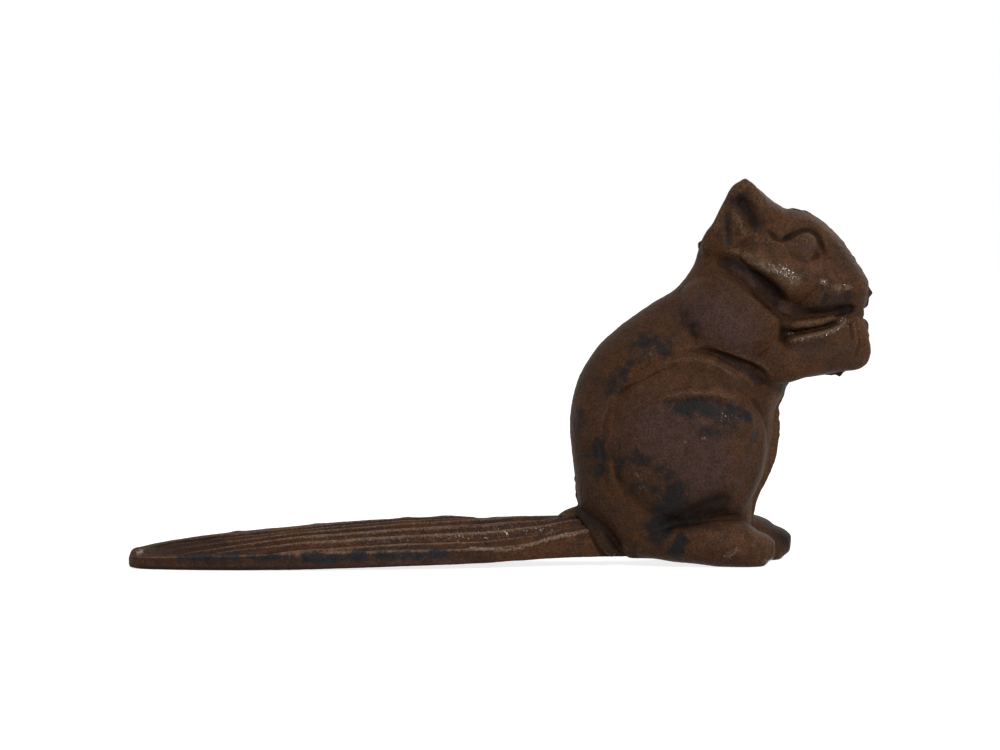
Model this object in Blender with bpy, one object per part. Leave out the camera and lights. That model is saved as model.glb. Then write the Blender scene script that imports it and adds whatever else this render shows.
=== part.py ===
"""Cast iron doorstop: a squirrel sitting up, paws at its mouth, with a long ribbed tail as the wedge.

The figure is two hollow half castings that meet on the plane Y = 0. The tail is a third, solid casting,
and a lug on its root is trapped in a pocket between the halves. One slotted screw clamps all three.
The squirrel faces +X, its right side is -Y, and it stands on Z = 0. Sizes below are in millimetres.
"""

import math

import bmesh
import bpy
import numpy as np
from mathutils import Matrix, Vector

MM = 0.001
RIGHT = -1
LEFT = 1

# Fits between the pieces
JOINT_GAP = 0.3
POCKET_GAP = 0.35

# How finely the pieces are worked
SOLE_SNAP = 0.06
MASS_SEGMENTS = (40, 28)
FUSE_VOXEL = 0.8
SOFTEN_FACTOR = 0.5
SOFTEN_PASSES = 7
STROKE_SOFTEN_PASSES = 2
HALF_FIGURE_TRIANGLES = 4050
MERGE_DISTANCE = 0.0001
SHARP_ANGLE = 50.0

# How square the rounded sections are: 2 is an ellipse
BODY_FULLNESS = 2.25
CORE_FULLNESS = 2.2
FOOT_FULLNESS = 2.5
EAR_FULLNESS = 2.5

# Finishes, each a linear colour, a roughness and a metallic value
RUST_BROWN_IRON = ((0.085, 0.040, 0.026), 0.55, 0.35)
BROWNED_SCREW_STEEL = ((0.060, 0.035, 0.025), 0.45, 0.8)

# Body from the rump to the snout: each station is a point on the back, a point on the front, and the
# half width of the body between them
BODY_STATIONS = [
    ((36.6, 2.2), (77.5, 2.2), 13.5),
    ((31.4, 8.4), (79.6, 9.0), 16.6),
    ((25.2, 18.4), (82.0, 20.0), 18.0),
    ((23.4, 32.0), (87.6, 31.5), 18.0),
    ((22.4, 46.0), (89.2, 42.0), 18.0),
    ((25.1, 58.5), (89.2, 49.0), 18.0),
    ((31.5, 69.2), (91.2, 54.0), 17.5),
    ((41.4, 77.7), (93.0, 60.0), 16.5),
    ((50.8, 83.9), (95.5, 66.0), 15.2),
    ((57.0, 87.8), (98.0, 69.6), 14.4),
    ((62.4, 94.4), (101.4, 72.4), 13.6),
    ((65.0, 101.4), (104.8, 74.2), 13.2),
    ((69.6, 107.2), (107.6, 75.4), 13.2),
    ((79.0, 112.2), (110.4, 76.6), 12.8),
    ((90.6, 112.8), (112.8, 77.6), 12.0),
    ((101.2, 110.2), (114.6, 78.8), 10.8),
    ((109.0, 103.0), (116.2, 80.4), 9.4),
    ((114.5, 95.2), (117.2, 82.0), 7.4),
    ((118.2, 89.2), (117.8, 84.0), 4.2),
]

# The two moulds met a little out of line: the right belly stops short of the left one between these heights,
# and the left foot stands ahead of the right
BELLY_SETBACK = 2.3
BELLY_SETBACK_Z = (10.0, 56.0)
LEFT_FOOT_LEAD = 5.2

# Core that leaves the castings hollow, given in the same way
CORE_STATIONS = [
    ((55.0, 13.5), (72.0, 13.0), 9.0),
    ((52.0, 22.5), (76.0, 22.5), 12.5),
    ((35.0, 33.5), (80.5, 33.0), 13.2),
    ((28.8, 45.5), (83.0, 43.0), 13.2),
    ((31.4, 57.0), (83.4, 51.0), 13.0),
    ((38.0, 66.0), (84.6, 57.0), 12.4),
    ((47.0, 73.4), (86.8, 64.0), 11.2),
    ((57.0, 80.4), (90.0, 71.0), 10.0),
    ((66.0, 91.0), (95.0, 78.5), 9.0),
    ((72.5, 101.0), (101.0, 84.5), 8.4),
    ((84.0, 105.6), (106.0, 89.5), 7.6),
    ((94.0, 103.6), (108.6, 93.0), 5.6),
]

# Rounded masses that stand out of the body on each side: centre, radii, tilt in the side view, fullness
HAUNCH = {"centre": (59.6, 8.0, 38.4), "radii": (25.8, 15.6, 28.2), "tilt": -6.0, "fullness": 3.2}
SHOULDER = {"centre": (74.6, 4.6, 77.0), "radii": (18.8, 15.2, 14.6), "tilt": 32.0, "fullness": 2.6}
NECK = {"centre": (77.0, 3.0, 87.6), "radii": (13.0, 13.0, 12.6), "tilt": 0.0, "fullness": 2.0}
CHEEK = {"centre": (93.6, 5.4, 92.8), "radii": (20.0, 11.2, 10.4), "tilt": 33.0, "fullness": 2.5}
EYE = {"centre": (97.8, 9.4, 100.9), "radii": (5.4, 4.6, 5.0), "tilt": 10.0, "fullness": 2.2}
TAIL_HUMP = {"centre": (25.0, 0.6, 16.1), "radii": (8.4, 3.6, 2.3), "tilt": -16.0, "fullness": 2.0}

# Webs that fill the space between the ears and between the forearms out to the outline, because the moulds
# draw straight off sideways, given like the body
EAR_WEB = [
    ((69.0, 104.0), (96.6, 108.6), 9.4),
    ((71.4, 109.4), (92.4, 112.2), 9.0),
    ((73.6, 113.4), (87.6, 115.4), 8.6),
    ((75.6, 116.6), (84.6, 118.0), 8.0),
    ((77.8, 118.6), (82.4, 119.8), 7.0),
]
ARM_WEB = [
    ((86.0, 58.2), (99.4, 59.2), 5.0),
    ((88.0, 61.2), (111.6, 61.3), 6.0),
    ((90.0, 66.0), (116.7, 66.2), 6.0),
    ((92.0, 71.0), (117.9, 71.6), 5.4),
    ((94.0, 76.0), (117.2, 76.4), 4.6),
    ((96.0, 78.6), (113.0, 79.0), 3.6),
]

# Limbs: each station is a point on the limb's line, then its half width and its half height
FOOT = [
    (44.0, 9.6, 7.2, 5.6, 4.4),
    (54.0, 10.6, 8.0, 9.0, 6.6),
    (66.0, 11.4, 7.7, 10.6, 7.5),
    (74.0, 11.6, 6.6, 10.6, 7.8),
    (80.0, 11.6, 5.0, 9.8, 6.8),
    (84.4, 11.5, 5.0, 7.8, 4.9),
    (87.4, 11.4, 4.8, 4.4, 2.6),
]
FOREARM = [
    (72.0, 5.0, 64.0, 3.0, 4.0),
    (82.0, 9.4, 63.6, 5.4, 6.0),
    (90.0, 11.2, 64.6, 6.4, 7.2),
    (98.0, 10.2, 66.4, 6.4, 7.0),
    (105.5, 7.8, 67.8, 5.9, 7.4),
    (111.4, 5.4, 69.6, 5.4, 8.9),
    (115.2, 3.8, 70.6, 4.0, 8.0),
    (117.2, 2.6, 71.0, 2.2, 5.6),
]
JAW = [
    (86.0, 8.6, 75.2, 2.4, 2.0),
    (96.0, 9.8, 76.4, 3.0, 2.4),
    (104.0, 8.0, 77.2, 3.0, 2.4),
    (111.5, 4.6, 78.6, 3.0, 2.6),
    (115.4, 2.0, 80.4, 2.4, 2.8),
]
RUMP_LIP = [
    (25.4, 1.0, 17.0, 2.0, 2.2),
    (28.6, 6.6, 14.4, 2.4, 2.6),
    (31.6, 9.8, 10.8, 2.6, 2.6),
    (34.4, 11.2, 6.2, 2.4, 2.2),
    (36.8, 11.6, 3.6, 1.9, 1.6),
]

# Ear: each station is a point on its back edge, a point on its front edge, half its thickness, and how far
# its middle stands from the joint
EAR = [
    ((67.4, 95.0), (86.0, 97.4), 3.8, 4.0),
    ((65.0, 100.6), (87.0, 102.6), 5.0, 6.2),
    ((66.4, 105.0), (86.2, 105.3), 4.9, 7.4),
    ((68.7, 108.0), (85.5, 107.8), 4.5, 8.2),
    ((70.2, 110.6), (85.2, 110.6), 4.1, 8.7),
    ((71.4, 113.2), (85.2, 113.6), 3.7, 9.1),
    ((72.8, 115.8), (84.7, 116.3), 3.3, 9.5),
    ((74.2, 118.3), (83.4, 118.8), 2.8, 9.8),
    ((75.6, 120.3), (81.9, 120.7), 2.2, 10.0),
    ((77.6, 121.5), (80.7, 121.8), 1.5, 10.0),
    ((78.8, 122.4), (80.0, 122.5), 0.8, 10.0),
]

# Ragged flash that squeezed out between the moulds, left on the edge of the left half: places along the
# joint in the side view, each with the length of joint it covers and how far the fin stands out there
FLASH_PATCHES = [
    ((97.0, 112.0), 5.0, 0.7),
    ((107.5, 105.0), 9.0, 0.45),
    ((114.0, 96.0), 6.0, 0.5),
    ((117.5, 81.0), 3.5, 1.0),
    ((117.4, 74.4), 3.5, 0.7),
    ((107.6, 61.0), 4.0, 0.9),
    ((94.5, 57.5), 3.5, 1.1),
    ((90.0, 44.0), 6.0, 0.6),
    ((24.0, 24.0), 5.0, 0.9),
]
# Sharp points that stand above it: a place, half the length of its foot, and its height
FLASH_SPIKES = [
    ((117.8, 85.6), 2.6, 1.9),
    ((99.8, 111.0), 1.6, 0.6),
    ((63.4, 102.4), 1.8, 1.0),
    ((108.4, 60.4), 2.4, 1.0),
    ((24.0, 27.0), 2.0, 0.7),
]
FLASH_THICKNESS = 0.8
FLASH_SETBACK = 0.1
FLASH_ROOT = 1.6
FLASH_TEETH = 0.4
FLASH_TOOTH_RUNS = (1.9, 0.83)
FLASH_TOOTH_SHARES = (0.6, 0.4)
FLASH_PITCH = 1.4
FLASH_LEAST = 0.25

# Strokes of the modelling tool on both sides, as paths in the side view, with their width and depth. Steps
# raise the skin on the left of their direction and drop it on the right.
GROOVES = [
    # the ear's cup, its deep front, and the hollow inside its back rim
    ([(78.0, 117.6), (78.4, 112.0), (79.8, 105.0)], 2.8, 1.1),
    ([(75.4, 117.8), (78.6, 116.6), (81.2, 114.4), (82.7, 111.4), (83.7, 108.4), (84.3, 105.4)], 1.8, 2.2),
    ([(75.2, 118.6), (74.2, 114.5), (73.7, 110.0), (73.8, 105.4), (74.8, 101.8)], 1.6, 0.8),
    # the heavy upper lid and the lower lid
    ([(86.0, 106.8), (88.1, 104.2), (90.8, 103.2), (93.2, 104.1), (95.5, 105.3), (98.2, 106.0),
      (100.5, 105.4), (102.4, 103.7), (103.7, 100.4), (105.1, 97.8), (106.6, 96.0)], 1.1, 1.5),
    ([(92.4, 103.4), (92.6, 100.4), (94.6, 97.4), (98.0, 96.1), (101.4, 97.2), (103.2, 99.4)], 1.0, 0.6),
    # the throat under the cheek ruff, the muzzle, the mouth and its corner, and the gap under the jaw
    ([(69.4, 95.6), (74.3, 93.4), (79.0, 90.6), (82.6, 86.8), (86.0, 83.6), (90.4, 79.8)], 2.2, 1.3),
    ([(94.2, 82.4), (97.5, 82.8), (99.9, 84.2), (101.8, 86.4), (104.8, 89.4)], 1.1, 0.8),
    ([(87.4, 80.2), (92.0, 78.6), (97.0, 78.4), (102.0, 78.8), (107.2, 79.5), (111.6, 80.6)], 1.2, 1.2),
    ([(105.6, 79.2), (109.4, 79.7), (112.6, 80.4)], 1.2, 1.1),
    ([(89.6, 74.4), (92.8, 73.3), (97.5, 73.7), (101.2, 74.4), (104.4, 75.7), (108.8, 77.8)], 1.0, 0.9),
    # between the toes of the paw held to the mouth
    ([(111.6, 79.6), (112.1, 76.3), (112.8, 74.0), (113.2, 70.8)], 1.0, 0.8),
    ([(114.2, 76.6), (115.1, 72.5), (115.0, 68.8), (113.4, 64.0)], 1.0, 0.5),
    # the fold under the shoulder, and the dip behind it
    ([(60.8, 70.4), (66.8, 68.9), (71.5, 67.3), (76.3, 65.9), (82.3, 63.7), (88.0, 60.6)], 1.4, 1.4),
    ([(76.0, 64.6), (81.0, 61.4), (84.6, 57.4)], 2.6, 0.9),
    ([(54.6, 84.0), (56.4, 78.4), (59.6, 74.4), (65.0, 71.4)], 2.6, 0.5),
    # folds on the haunch, behind it, in front of the thigh and above the foot
    ([(40.0, 53.6), (44.6, 58.2), (50.2, 61.6), (57.4, 63.6), (64.6, 63.8)], 1.3, 0.6),
    ([(44.6, 50.0), (50.2, 54.0), (56.8, 57.2), (63.4, 58.3), (70.0, 57.0)], 1.4, 0.6),
    ([(36.4, 54.0), (34.6, 48.0), (33.2, 42.0), (33.0, 35.0), (33.8, 27.0), (36.4, 20.4)], 1.4, 0.5),
    ([(81.2, 54.0), (82.8, 47.0), (82.6, 40.0), (81.0, 32.6), (78.0, 25.6), (73.6, 19.0)], 1.6, 0.8),
    ([(50.0, 11.6), (56.0, 14.6), (62.0, 17.6), (68.4, 20.6), (74.0, 23.4)], 2.4, 1.1),
    ([(60.0, 15.2), (67.0, 16.2), (74.0, 15.6), (80.0, 13.4)], 1.6, 0.7),
]
RIDGES = [
    # the ear's front rim, the brow, the cheek ruff's roll and the fold below the haunch's top
    ([(80.4, 121.6), (82.6, 119.0), (84.4, 116.2), (85.2, 112.4), (85.7, 107.4)], 1.0, 0.7),
    ([(87.0, 106.6), (90.8, 106.8), (95.2, 109.0), (99.6, 108.7), (103.8, 106.0), (106.4, 101.6)], 1.5, 0.4),
    ([(70.0, 100.4), (76.0, 99.4), (81.0, 97.6), (86.6, 94.8), (92.0, 91.9), (96.4, 88.8), (99.8, 84.8)],
     2.4, 1.0),
    ([(50.0, 50.4), (55.8, 53.4), (63.0, 54.9), (70.2, 54.2), (77.0, 51.6)], 1.4, 0.5),
]
STEPS = [
    # the cheek ruff's overhang, the shoulder's front edge and the haunch's outline
    ([(69.0, 99.2), (74.6, 97.4), (79.0, 95.5), (83.2, 93.4), (87.6, 90.9), (91.0, 88.2), (93.2, 85.2),
      (95.4, 80.8)], 1.7, 1.5),
    ([(88.2, 66.4), (89.8, 72.0), (89.6, 77.0), (86.4, 81.8), (81.6, 86.4), (76.5, 89.5), (70.0, 92.2)],
     1.8, 0.7),
    ([(80.0, 55.0), (74.4, 63.0), (68.4, 66.4), (61.9, 66.8), (54.6, 65.4), (46.8, 61.5), (40.6, 55.4),
      (36.8, 49.6)], 1.7, 0.55),
]
STROKE_TAPER = 0.2
STEP_PEAK = 1.65
SIDE_FACING_GAIN = 1.6

# Tail: each station is a distance along X, then half width, underside, edge height and ridge height
TAIL_STATIONS = [
    (-121.2, 2.4, 1.0, 3.0, 3.8),
    (-120.0, 5.2, 0.3, 3.6, 5.8),
    (-116.4, 8.2, 0.0, 3.7, 6.7),
    (-110.0, 11.2, 0.0, 3.8, 8.0),
    (-96.0, 14.6, 0.0, 4.1, 10.0),
    (-78.0, 16.9, 0.0, 4.6, 11.7),
    (-58.0, 18.0, 0.3, 5.2, 13.3),
    (-30.0, 17.6, 1.0, 5.6, 14.7),
    (-8.0, 15.6, 1.5, 5.8, 15.1),
    (10.0, 12.8, 2.3, 7.2, 15.2),
    (22.0, 10.6, 2.7, 10.2, 15.6),
    (33.0, 9.4, 2.8, 12.2, 15.8),
    (41.0, 8.8, 2.8, 12.8, 15.4),
]
# Hair grooves on each half of the tail's top, as distances along X and out from its middle
TAIL_GROOVES = [
    [(-8.0, 1.0), (-42.0, 2.8), (-68.0, 5.0), (-90.0, 5.4), (-114.0, 4.6)],
    [(16.0, 2.2), (-11.0, 5.6), (-42.0, 8.2), (-68.0, 9.6), (-84.0, 10.6), (-108.0, 10.8)],
    [(34.0, 3.0), (12.0, 6.2), (-11.0, 9.4), (-42.0, 11.6), (-68.0, 12.4), (-98.0, 12.8)],
    [(34.0, 5.8), (16.0, 8.4), (-11.0, 12.4), (-42.0, 14.6), (-78.0, 15.8)],
]
# A groove's depth, how far its sides are from its floor, the share of the depth that they have there, and the
# most of the space between two grooves that a side may take
TAIL_GROOVE_DEPTH = 1.2
TAIL_GROOVE_SIDE = 0.8
TAIL_GROOVE_SIDE_DEPTH = 0.45
TAIL_GROOVE_MOST = 0.3
# The tail's top falls away from its ridge by this power of the distance across it
TAIL_CROWN = 1.7
POCKET_TOP_SIDES = 12
LUG_X = (40.0, 48.0)
LUG_HALF_WIDTH = 11.0
LUG_Z = (6.0, 19.0)
POCKET_START_X = 8.0
POCKET_END_X = 42.0
POCKET_FLOOR_Z = -2.0

# Clamp screw, its boss and its seat, and the pegs that register the halves
SCREW_X = 57.0
SCREW_Z = 47.0
SCREW_RADIUS = 2.5
SCREW_POINT_CHAMFER = 0.6
SCREW_HEAD_RADIUS = 4.7
SCREW_HEAD_HEIGHT = 2.9
SCREW_HEAD_CHAMFER = 0.2
SCREW_TOP_Y = 22.3
SCREW_END_Y = -13.5
SLOT_WIDTH = 1.2
SLOT_DEPTH = 1.3
SLOT_TURN = 35.0
BOSS_RADIUS = 6.2
TAPPED_RADIUS = 2.75
TAPPED_END_Y = -15.5
CLEARANCE_RADIUS = 2.9
SEAT_GAP = 0.3
PEG_SITES = [(101.5, 77.0), (66.0, 8.4)]
PEG_RADIUS = 2.3
PEG_REACH = 3.2
PEG_ROOT_Y = 2.0
PEG_GAP = 0.35
FAR_SIDE_KEPT = 3.0

# How far a cutter runs on past the skin that it opens
OUTSIDE_Y = 30.0
CUT_PAST = 1.0


def spaced(points, steps):
    """Points on a smooth curve through the given ones, with so many steps between each two."""
    rows = np.array(points, float)
    padded = np.vstack([2 * rows[0] - rows[1], rows, 2 * rows[-1] - rows[-2]])
    found = []
    for before, start, end, after in zip(padded, padded[1:], padded[2:], padded[3:]):
        for t in np.arange(steps) / steps:
            found.append(
                0.5
                * (
                    2 * start
                    + (end - before) * t
                    + (2 * before - 5 * start + 4 * end - after) * t**2
                    + (3 * start - 3 * end + after - before) * t**3
                )
            )
    found.append(rows[-1])
    return np.array(found)


def lofted(rings):
    """A closed skin over rings of points that have the same count, capped at both ends."""
    form = bmesh.new()
    loops = [[form.verts.new(point) for point in ring] for ring in rings]
    count = len(loops[0])
    for near, far in zip(loops, loops[1:]):
        for i in range(count):
            j = (i + 1) % count
            form.faces.new((near[i], near[j], far[j], far[i]))
    form.faces.new(loops[0][::-1])
    form.faces.new(loops[-1])
    bmesh.ops.recalc_face_normals(form, faces=form.faces)
    return form


def rounded_square(turn, fullness):
    """A point on a unit circle that squares up as its fullness rises above 2."""
    across, out = math.cos(turn), math.sin(turn)
    across = math.copysign(abs(across) ** (2 / fullness), across)
    return across, math.copysign(abs(out) ** (2 / fullness), out)


def slab_form(stations, side=0, steps=4, sides=40, fullness=BODY_FULLNESS):
    """A loft across stations that each give a back point, a front point and a half width.

    Where a station also says how far it stands from the joint, it stands off that far to the given side.
    """
    flat = [(*station[0], *station[1], *station[2:]) for station in stations]
    rings = []
    for back_x, back_z, front_x, front_z, width, *off in spaced(flat, steps):
        off_joint = side * off[0] if off else 0.0
        middle = Vector(((back_x + front_x) / 2, off_joint, (back_z + front_z) / 2))
        reach = Vector(((front_x - back_x) / 2, 0, (front_z - back_z) / 2))
        ring = []
        for turn in np.linspace(0, math.tau, sides, endpoint=False):
            across, out = rounded_square(turn, fullness)
            ring.append(middle + reach * across + Vector((0, width * out, 0)))
        rings.append(ring)
    return lofted(rings)


def body_form(half):
    """The trunk, neck and head as that half's mould has them."""
    low, high = BELLY_SETBACK_Z
    stations = []
    for back, (front_x, front_z), width in BODY_STATIONS:
        share = min(1.0, max(0.0, (front_z - low) / (high - low)))
        setback = BELLY_SETBACK * math.sin(math.pi * share) if half == RIGHT else 0.0
        stations.append((back, (front_x - setback, front_z), width))
    return slab_form(stations)


def mass_form(shape, side):
    """A rounded mass: an ellipsoid whose outer face flattens as its fullness rises above 2."""
    form = bmesh.new()
    bmesh.ops.create_uvsphere(form, u_segments=MASS_SEGMENTS[0], v_segments=MASS_SEGMENTS[1], radius=1)
    bmesh.ops.rotate(form, verts=form.verts, matrix=Matrix.Rotation(math.pi / 2, 3, "X"))
    radii = Vector(shape["radii"])
    turn = Matrix.Rotation(math.radians(shape["tilt"]), 3, "Y")
    x, y, z = shape["centre"]
    centre = Vector((x, side * y, z))
    for vertex in form.verts:
        from_axis = min(1.0, math.hypot(vertex.co.x, vertex.co.z))
        rise = math.sqrt(max(0.0, 1 - from_axis ** shape["fullness"]))
        unit = Vector((vertex.co.x, math.copysign(rise, vertex.co.y), vertex.co.z))
        vertex.co = centre + turn @ Vector(a * b for a, b in zip(unit, radii))
    bmesh.ops.recalc_face_normals(form, faces=form.faces)
    return form


def limb_form(stations, side, lead=0.0, steps=4, sides=20, fullness=2.0):
    """A tapering limb with sections square to its line, boxier as their fullness rises above 2."""
    path = spaced(stations, steps)
    points = [Vector((x + lead, side * y, z)) for x, y, z, _, _ in path]
    rings = []
    for i, (point, row) in enumerate(zip(points, path)):
        along = (points[min(i + 1, len(points) - 1)] - points[max(i - 1, 0)]).normalized()
        outward = (Vector((0, 1, 0)) - along * along.y).normalized()
        upward = outward.cross(along)
        ring = []
        for turn in np.linspace(0, math.tau, sides, endpoint=False):
            across, over = rounded_square(turn, fullness)
            ring.append(point + outward * row[3] * across + upward * row[4] * over)
        rings.append(ring)
    return lofted(rings)


def scratch_object(form):
    """The form as an object that a modifier can work on."""
    mesh = bpy.data.meshes.new("scratch")
    form.to_mesh(mesh)
    form.free()
    made = bpy.data.objects.new("scratch", mesh)
    bpy.context.scene.collection.objects.link(made)
    return made


def worked(form, *steps):
    """The form after a chain of modifiers, each given as its kind and its settings."""
    work = scratch_object(form)
    for kind, settings in steps:
        modifier = work.modifiers.new(kind, kind)
        for name, value in settings.items():
            setattr(modifier, name, value)
    bpy.context.view_layer.update()
    graph = bpy.context.evaluated_depsgraph_get()
    result = bmesh.new()
    result.from_mesh(bpy.data.meshes.new_from_object(work.evaluated_get(graph)))
    bpy.data.objects.remove(work)
    return result


def cut_or_joined(form, other, operation):
    """A Boolean of two forms. Both are used up."""
    tool = scratch_object(other)
    tool.hide_render = True
    tool.display_type = "WIRE"
    result = worked(form, ("BOOLEAN", {"operation": operation, "object": tool}))
    bpy.data.objects.remove(tool)
    return result


def cut(form, *tools):
    for tool in tools:
        form = cut_or_joined(form, tool, "DIFFERENCE")
    return form


def joined(form, *others):
    for other in others:
        form = cut_or_joined(form, other, "UNION")
    return form


def gathered(forms):
    """Forms side by side in one, not yet fused."""
    whole = bmesh.new()
    for form in forms:
        mesh = bpy.data.meshes.new("scratch")
        form.to_mesh(mesh)
        form.free()
        whole.from_mesh(mesh)
        bpy.data.meshes.remove(mesh)
    return whole


def side_rod(x, z, radius, start_y, end_y, sides=28, end_radius=None):
    """A rod or cone that runs along Y, from start_y to end_y."""
    radii = (radius, radius if end_radius is None else end_radius)
    rings = []
    for y, reach in zip((start_y, end_y), radii):
        turns = np.linspace(0, math.tau, sides, endpoint=False)
        rings.append([Vector((x + reach * math.cos(t), y, z + reach * math.sin(t))) for t in turns])
    return lofted(rings)


def block(low, high):
    form = bmesh.new()
    bmesh.ops.create_cube(form, size=1)
    size = Vector(high) - Vector(low)
    middle = (Vector(high) + Vector(low)) / 2
    for vertex in form.verts:
        vertex.co = middle + Vector(a * b for a, b in zip(vertex.co, size))
    return form


def stroke_field(flat, path):
    """Each point's distance from the path, positive on its left, and how far along the path it lies."""
    route = spaced(path, 6)
    lengths = np.linalg.norm(np.diff(route, axis=0), axis=1)
    travelled = np.concatenate([[0], np.cumsum(lengths)]) / lengths.sum()
    nearest = np.full(len(flat), np.inf)
    signed = np.zeros(len(flat))
    share = np.zeros(len(flat))
    for i, (start, end) in enumerate(zip(route, route[1:])):
        step = end - start
        offset = flat - start
        along = np.clip(offset @ step / (step @ step), 0, 1)
        distance = np.linalg.norm(offset - along[:, None] * step, axis=1)
        nearer = distance < nearest
        nearest[nearer] = distance[nearer]
        side = np.sign(step[0] * offset[:, 1] - step[1] * offset[:, 0])
        signed[nearer] = (side * distance)[nearer]
        share[nearer] = (travelled[i] + along * (travelled[i + 1] - travelled[i]))[nearer]
    return signed, share


def tapered(share):
    """How much of its depth a stroke has there: it fades in and out over its ends."""
    return np.sin(np.pi / 2 * np.clip(np.minimum(share, 1 - share) / STROKE_TAPER, 0, 1))


def sculpt(form):
    """Works the strokes into the skin along its normals, on the faces that look to the sides."""
    form.normal_update()
    vertices = list(form.verts)
    places = np.array([v.co for v in vertices])
    normals = np.array([v.normal for v in vertices])
    flat = places[:, [0, 2]]
    rise = np.zeros(len(places))
    for sign, strokes in ((-1, GROOVES), (1, RIDGES)):
        for path, width, depth in strokes:
            signed, share = stroke_field(flat, path)
            rise += sign * depth * np.exp(-((signed / width) ** 2)) * tapered(share)
    for path, width, depth in STEPS:
        signed, share = stroke_field(flat, path)
        step = signed / width * np.exp(-0.5 * (signed / width) ** 2)
        rise += STEP_PEAK * depth * step * tapered(share)
    faces_out = np.clip(normals[:, 1] * np.sign(places[:, 1]) * SIDE_FACING_GAIN, 0, 1)
    places += normals * (rise * faces_out)[:, None]
    for vertex, place in zip(vertices, places):
        vertex.co = place


def flash_height(x, z, travelled):
    """How far the flash stands out of the joint at a point, with the distance travelled along the joint."""
    height = 0.0
    for (patch_x, patch_z), reach, rise in FLASH_PATCHES:
        away = math.hypot(x - patch_x, z - patch_z) / reach
        height = max(height, rise * math.exp(-(away**4)))
    waves = zip(FLASH_TOOTH_SHARES, FLASH_TOOTH_RUNS)
    height *= 1 + FLASH_TEETH * sum(share * math.sin(travelled / length) for share, length in waves)
    for (spike_x, spike_z), reach, rise in FLASH_SPIKES:
        height = max(height, rise * (1 - math.hypot(x - spike_x, z - spike_z) / reach))
    return height


def joint_outline(form):
    """The longest closed line where the joint plane meets the form, started at its lowest point."""
    section = form.copy()
    found = bmesh.ops.bisect_plane(
        section,
        geom=section.verts[:] + section.edges[:] + section.faces[:],
        plane_co=(0, 0, 0),
        plane_no=(0, 1, 0),
    )
    cut_edges = {item for item in found["geom_cut"] if isinstance(item, bmesh.types.BMEdge)}
    loops = []
    while cut_edges:
        first = min(cut_edges, key=lambda edge: edge.index)
        loop = [first.verts[0], first.verts[1]]
        cut_edges.remove(first)
        while True:
            onward = [edge for edge in loop[-1].link_edges if edge in cut_edges]
            if not onward:
                break
            cut_edges.remove(onward[0])
            loop.append(onward[0].other_vert(loop[-1]))
        loops.append(np.array([(vertex.co.x, vertex.co.z) for vertex in loop]))
    section.free()
    longest = max(loops, key=lambda loop: np.linalg.norm(np.diff(loop, axis=0), axis=1).sum())
    lowest = np.argmin(longest[:-1, 1])
    turned = np.roll(longest[:-1], -lowest, axis=0)
    return np.vstack([turned, turned[:1]])


def flash_fins(form):
    """Thin strips that follow the edge of the joint face, and stand out of it raggedly at each patch."""
    outline = joint_outline(form)
    run = np.concatenate([[0], np.cumsum(np.linalg.norm(np.diff(outline, axis=0), axis=1))])
    places = np.arange(0, run[-1], FLASH_PITCH)
    points = np.stack([np.interp(places, run, outline[:, axis]) for axis in (0, 1)], axis=1)
    along = np.roll(points, -1, axis=0) - np.roll(points, 1, axis=0)
    along /= np.linalg.norm(along, axis=1)[:, None]
    area = np.sum(points[:, 0] * np.roll(points[:, 1], -1) - np.roll(points[:, 0], -1) * points[:, 1])
    outward = np.stack([along[:, 1], -along[:, 0]], axis=1) * math.copysign(1, area)
    near_y = JOINT_GAP / 2 + FLASH_SETBACK
    far_y = near_y + FLASH_THICKNESS
    strips, rings = [], []
    for (x, z), (out_x, out_z), travelled in zip(points, outward, places):
        height = flash_height(x, z, travelled)
        if height > FLASH_LEAST:
            corners = ((near_y, -FLASH_ROOT), (near_y, height), (far_y, height), (far_y, -FLASH_ROOT))
            rings.append([Vector((x + out_x * rise, y, z + out_z * rise)) for y, rise in corners])
        if height <= FLASH_LEAST or travelled == places[-1]:
            if len(rings) > 1:
                strips.append(lofted(rings))
            rings = []
    return strips


def squirrel(half):
    """The figure as that half's mould has it, fused from its masses and softened as a casting is."""
    forms = [body_form(half), slab_form(EAR_WEB), slab_form(ARM_WEB)]
    for side, foot_lead in ((RIGHT, 0.0), (LEFT, LEFT_FOOT_LEAD)):
        forms += [mass_form(shape, side) for shape in (HAUNCH, SHOULDER, NECK, CHEEK, EYE, TAIL_HUMP)]
        forms += [limb_form(limb, side) for limb in (FOREARM, JAW, RUMP_LIP)]
        forms.append(limb_form(FOOT, side, foot_lead, fullness=FOOT_FULLNESS))
        forms.append(slab_form(EAR, side, sides=24, fullness=EAR_FULLNESS))
    whole = worked(
        gathered(forms),
        ("REMESH", {"mode": "VOXEL", "voxel_size": FUSE_VOXEL}),
        ("SMOOTH", {"factor": SOFTEN_FACTOR, "iterations": SOFTEN_PASSES}),
    )
    sculpt(whole)
    whole = worked(whole, ("SMOOTH", {"factor": SOFTEN_FACTOR, "iterations": STROKE_SOFTEN_PASSES}))
    whole = kept_side(whole, (0, -half * FAR_SIDE_KEPT, 0), (0, half, 0))
    triangles = sum(len(face.verts) - 2 for face in whole.faces)
    ratio = HALF_FIGURE_TRIANGLES / triangles
    whole = worked(whole, ("DECIMATE", {"ratio": ratio, "use_collapse_triangulate": True}))
    return kept_side(whole, (0, 0, 0), (0, 0, 1))


def kept_side(form, point, direction):
    """The part of the form on the side of a plane that the direction points to, closed flat."""
    found = bmesh.ops.bisect_plane(
        form,
        geom=form.verts[:] + form.edges[:] + form.faces[:],
        plane_co=point,
        plane_no=direction,
        clear_inner=True,
    )
    edges = [item for item in found["geom_cut"] if isinstance(item, bmesh.types.BMEdge)]
    bmesh.ops.triangle_fill(form, edges=edges, use_beauty=True)
    bmesh.ops.recalc_face_normals(form, faces=form.faces)
    return form


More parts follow.
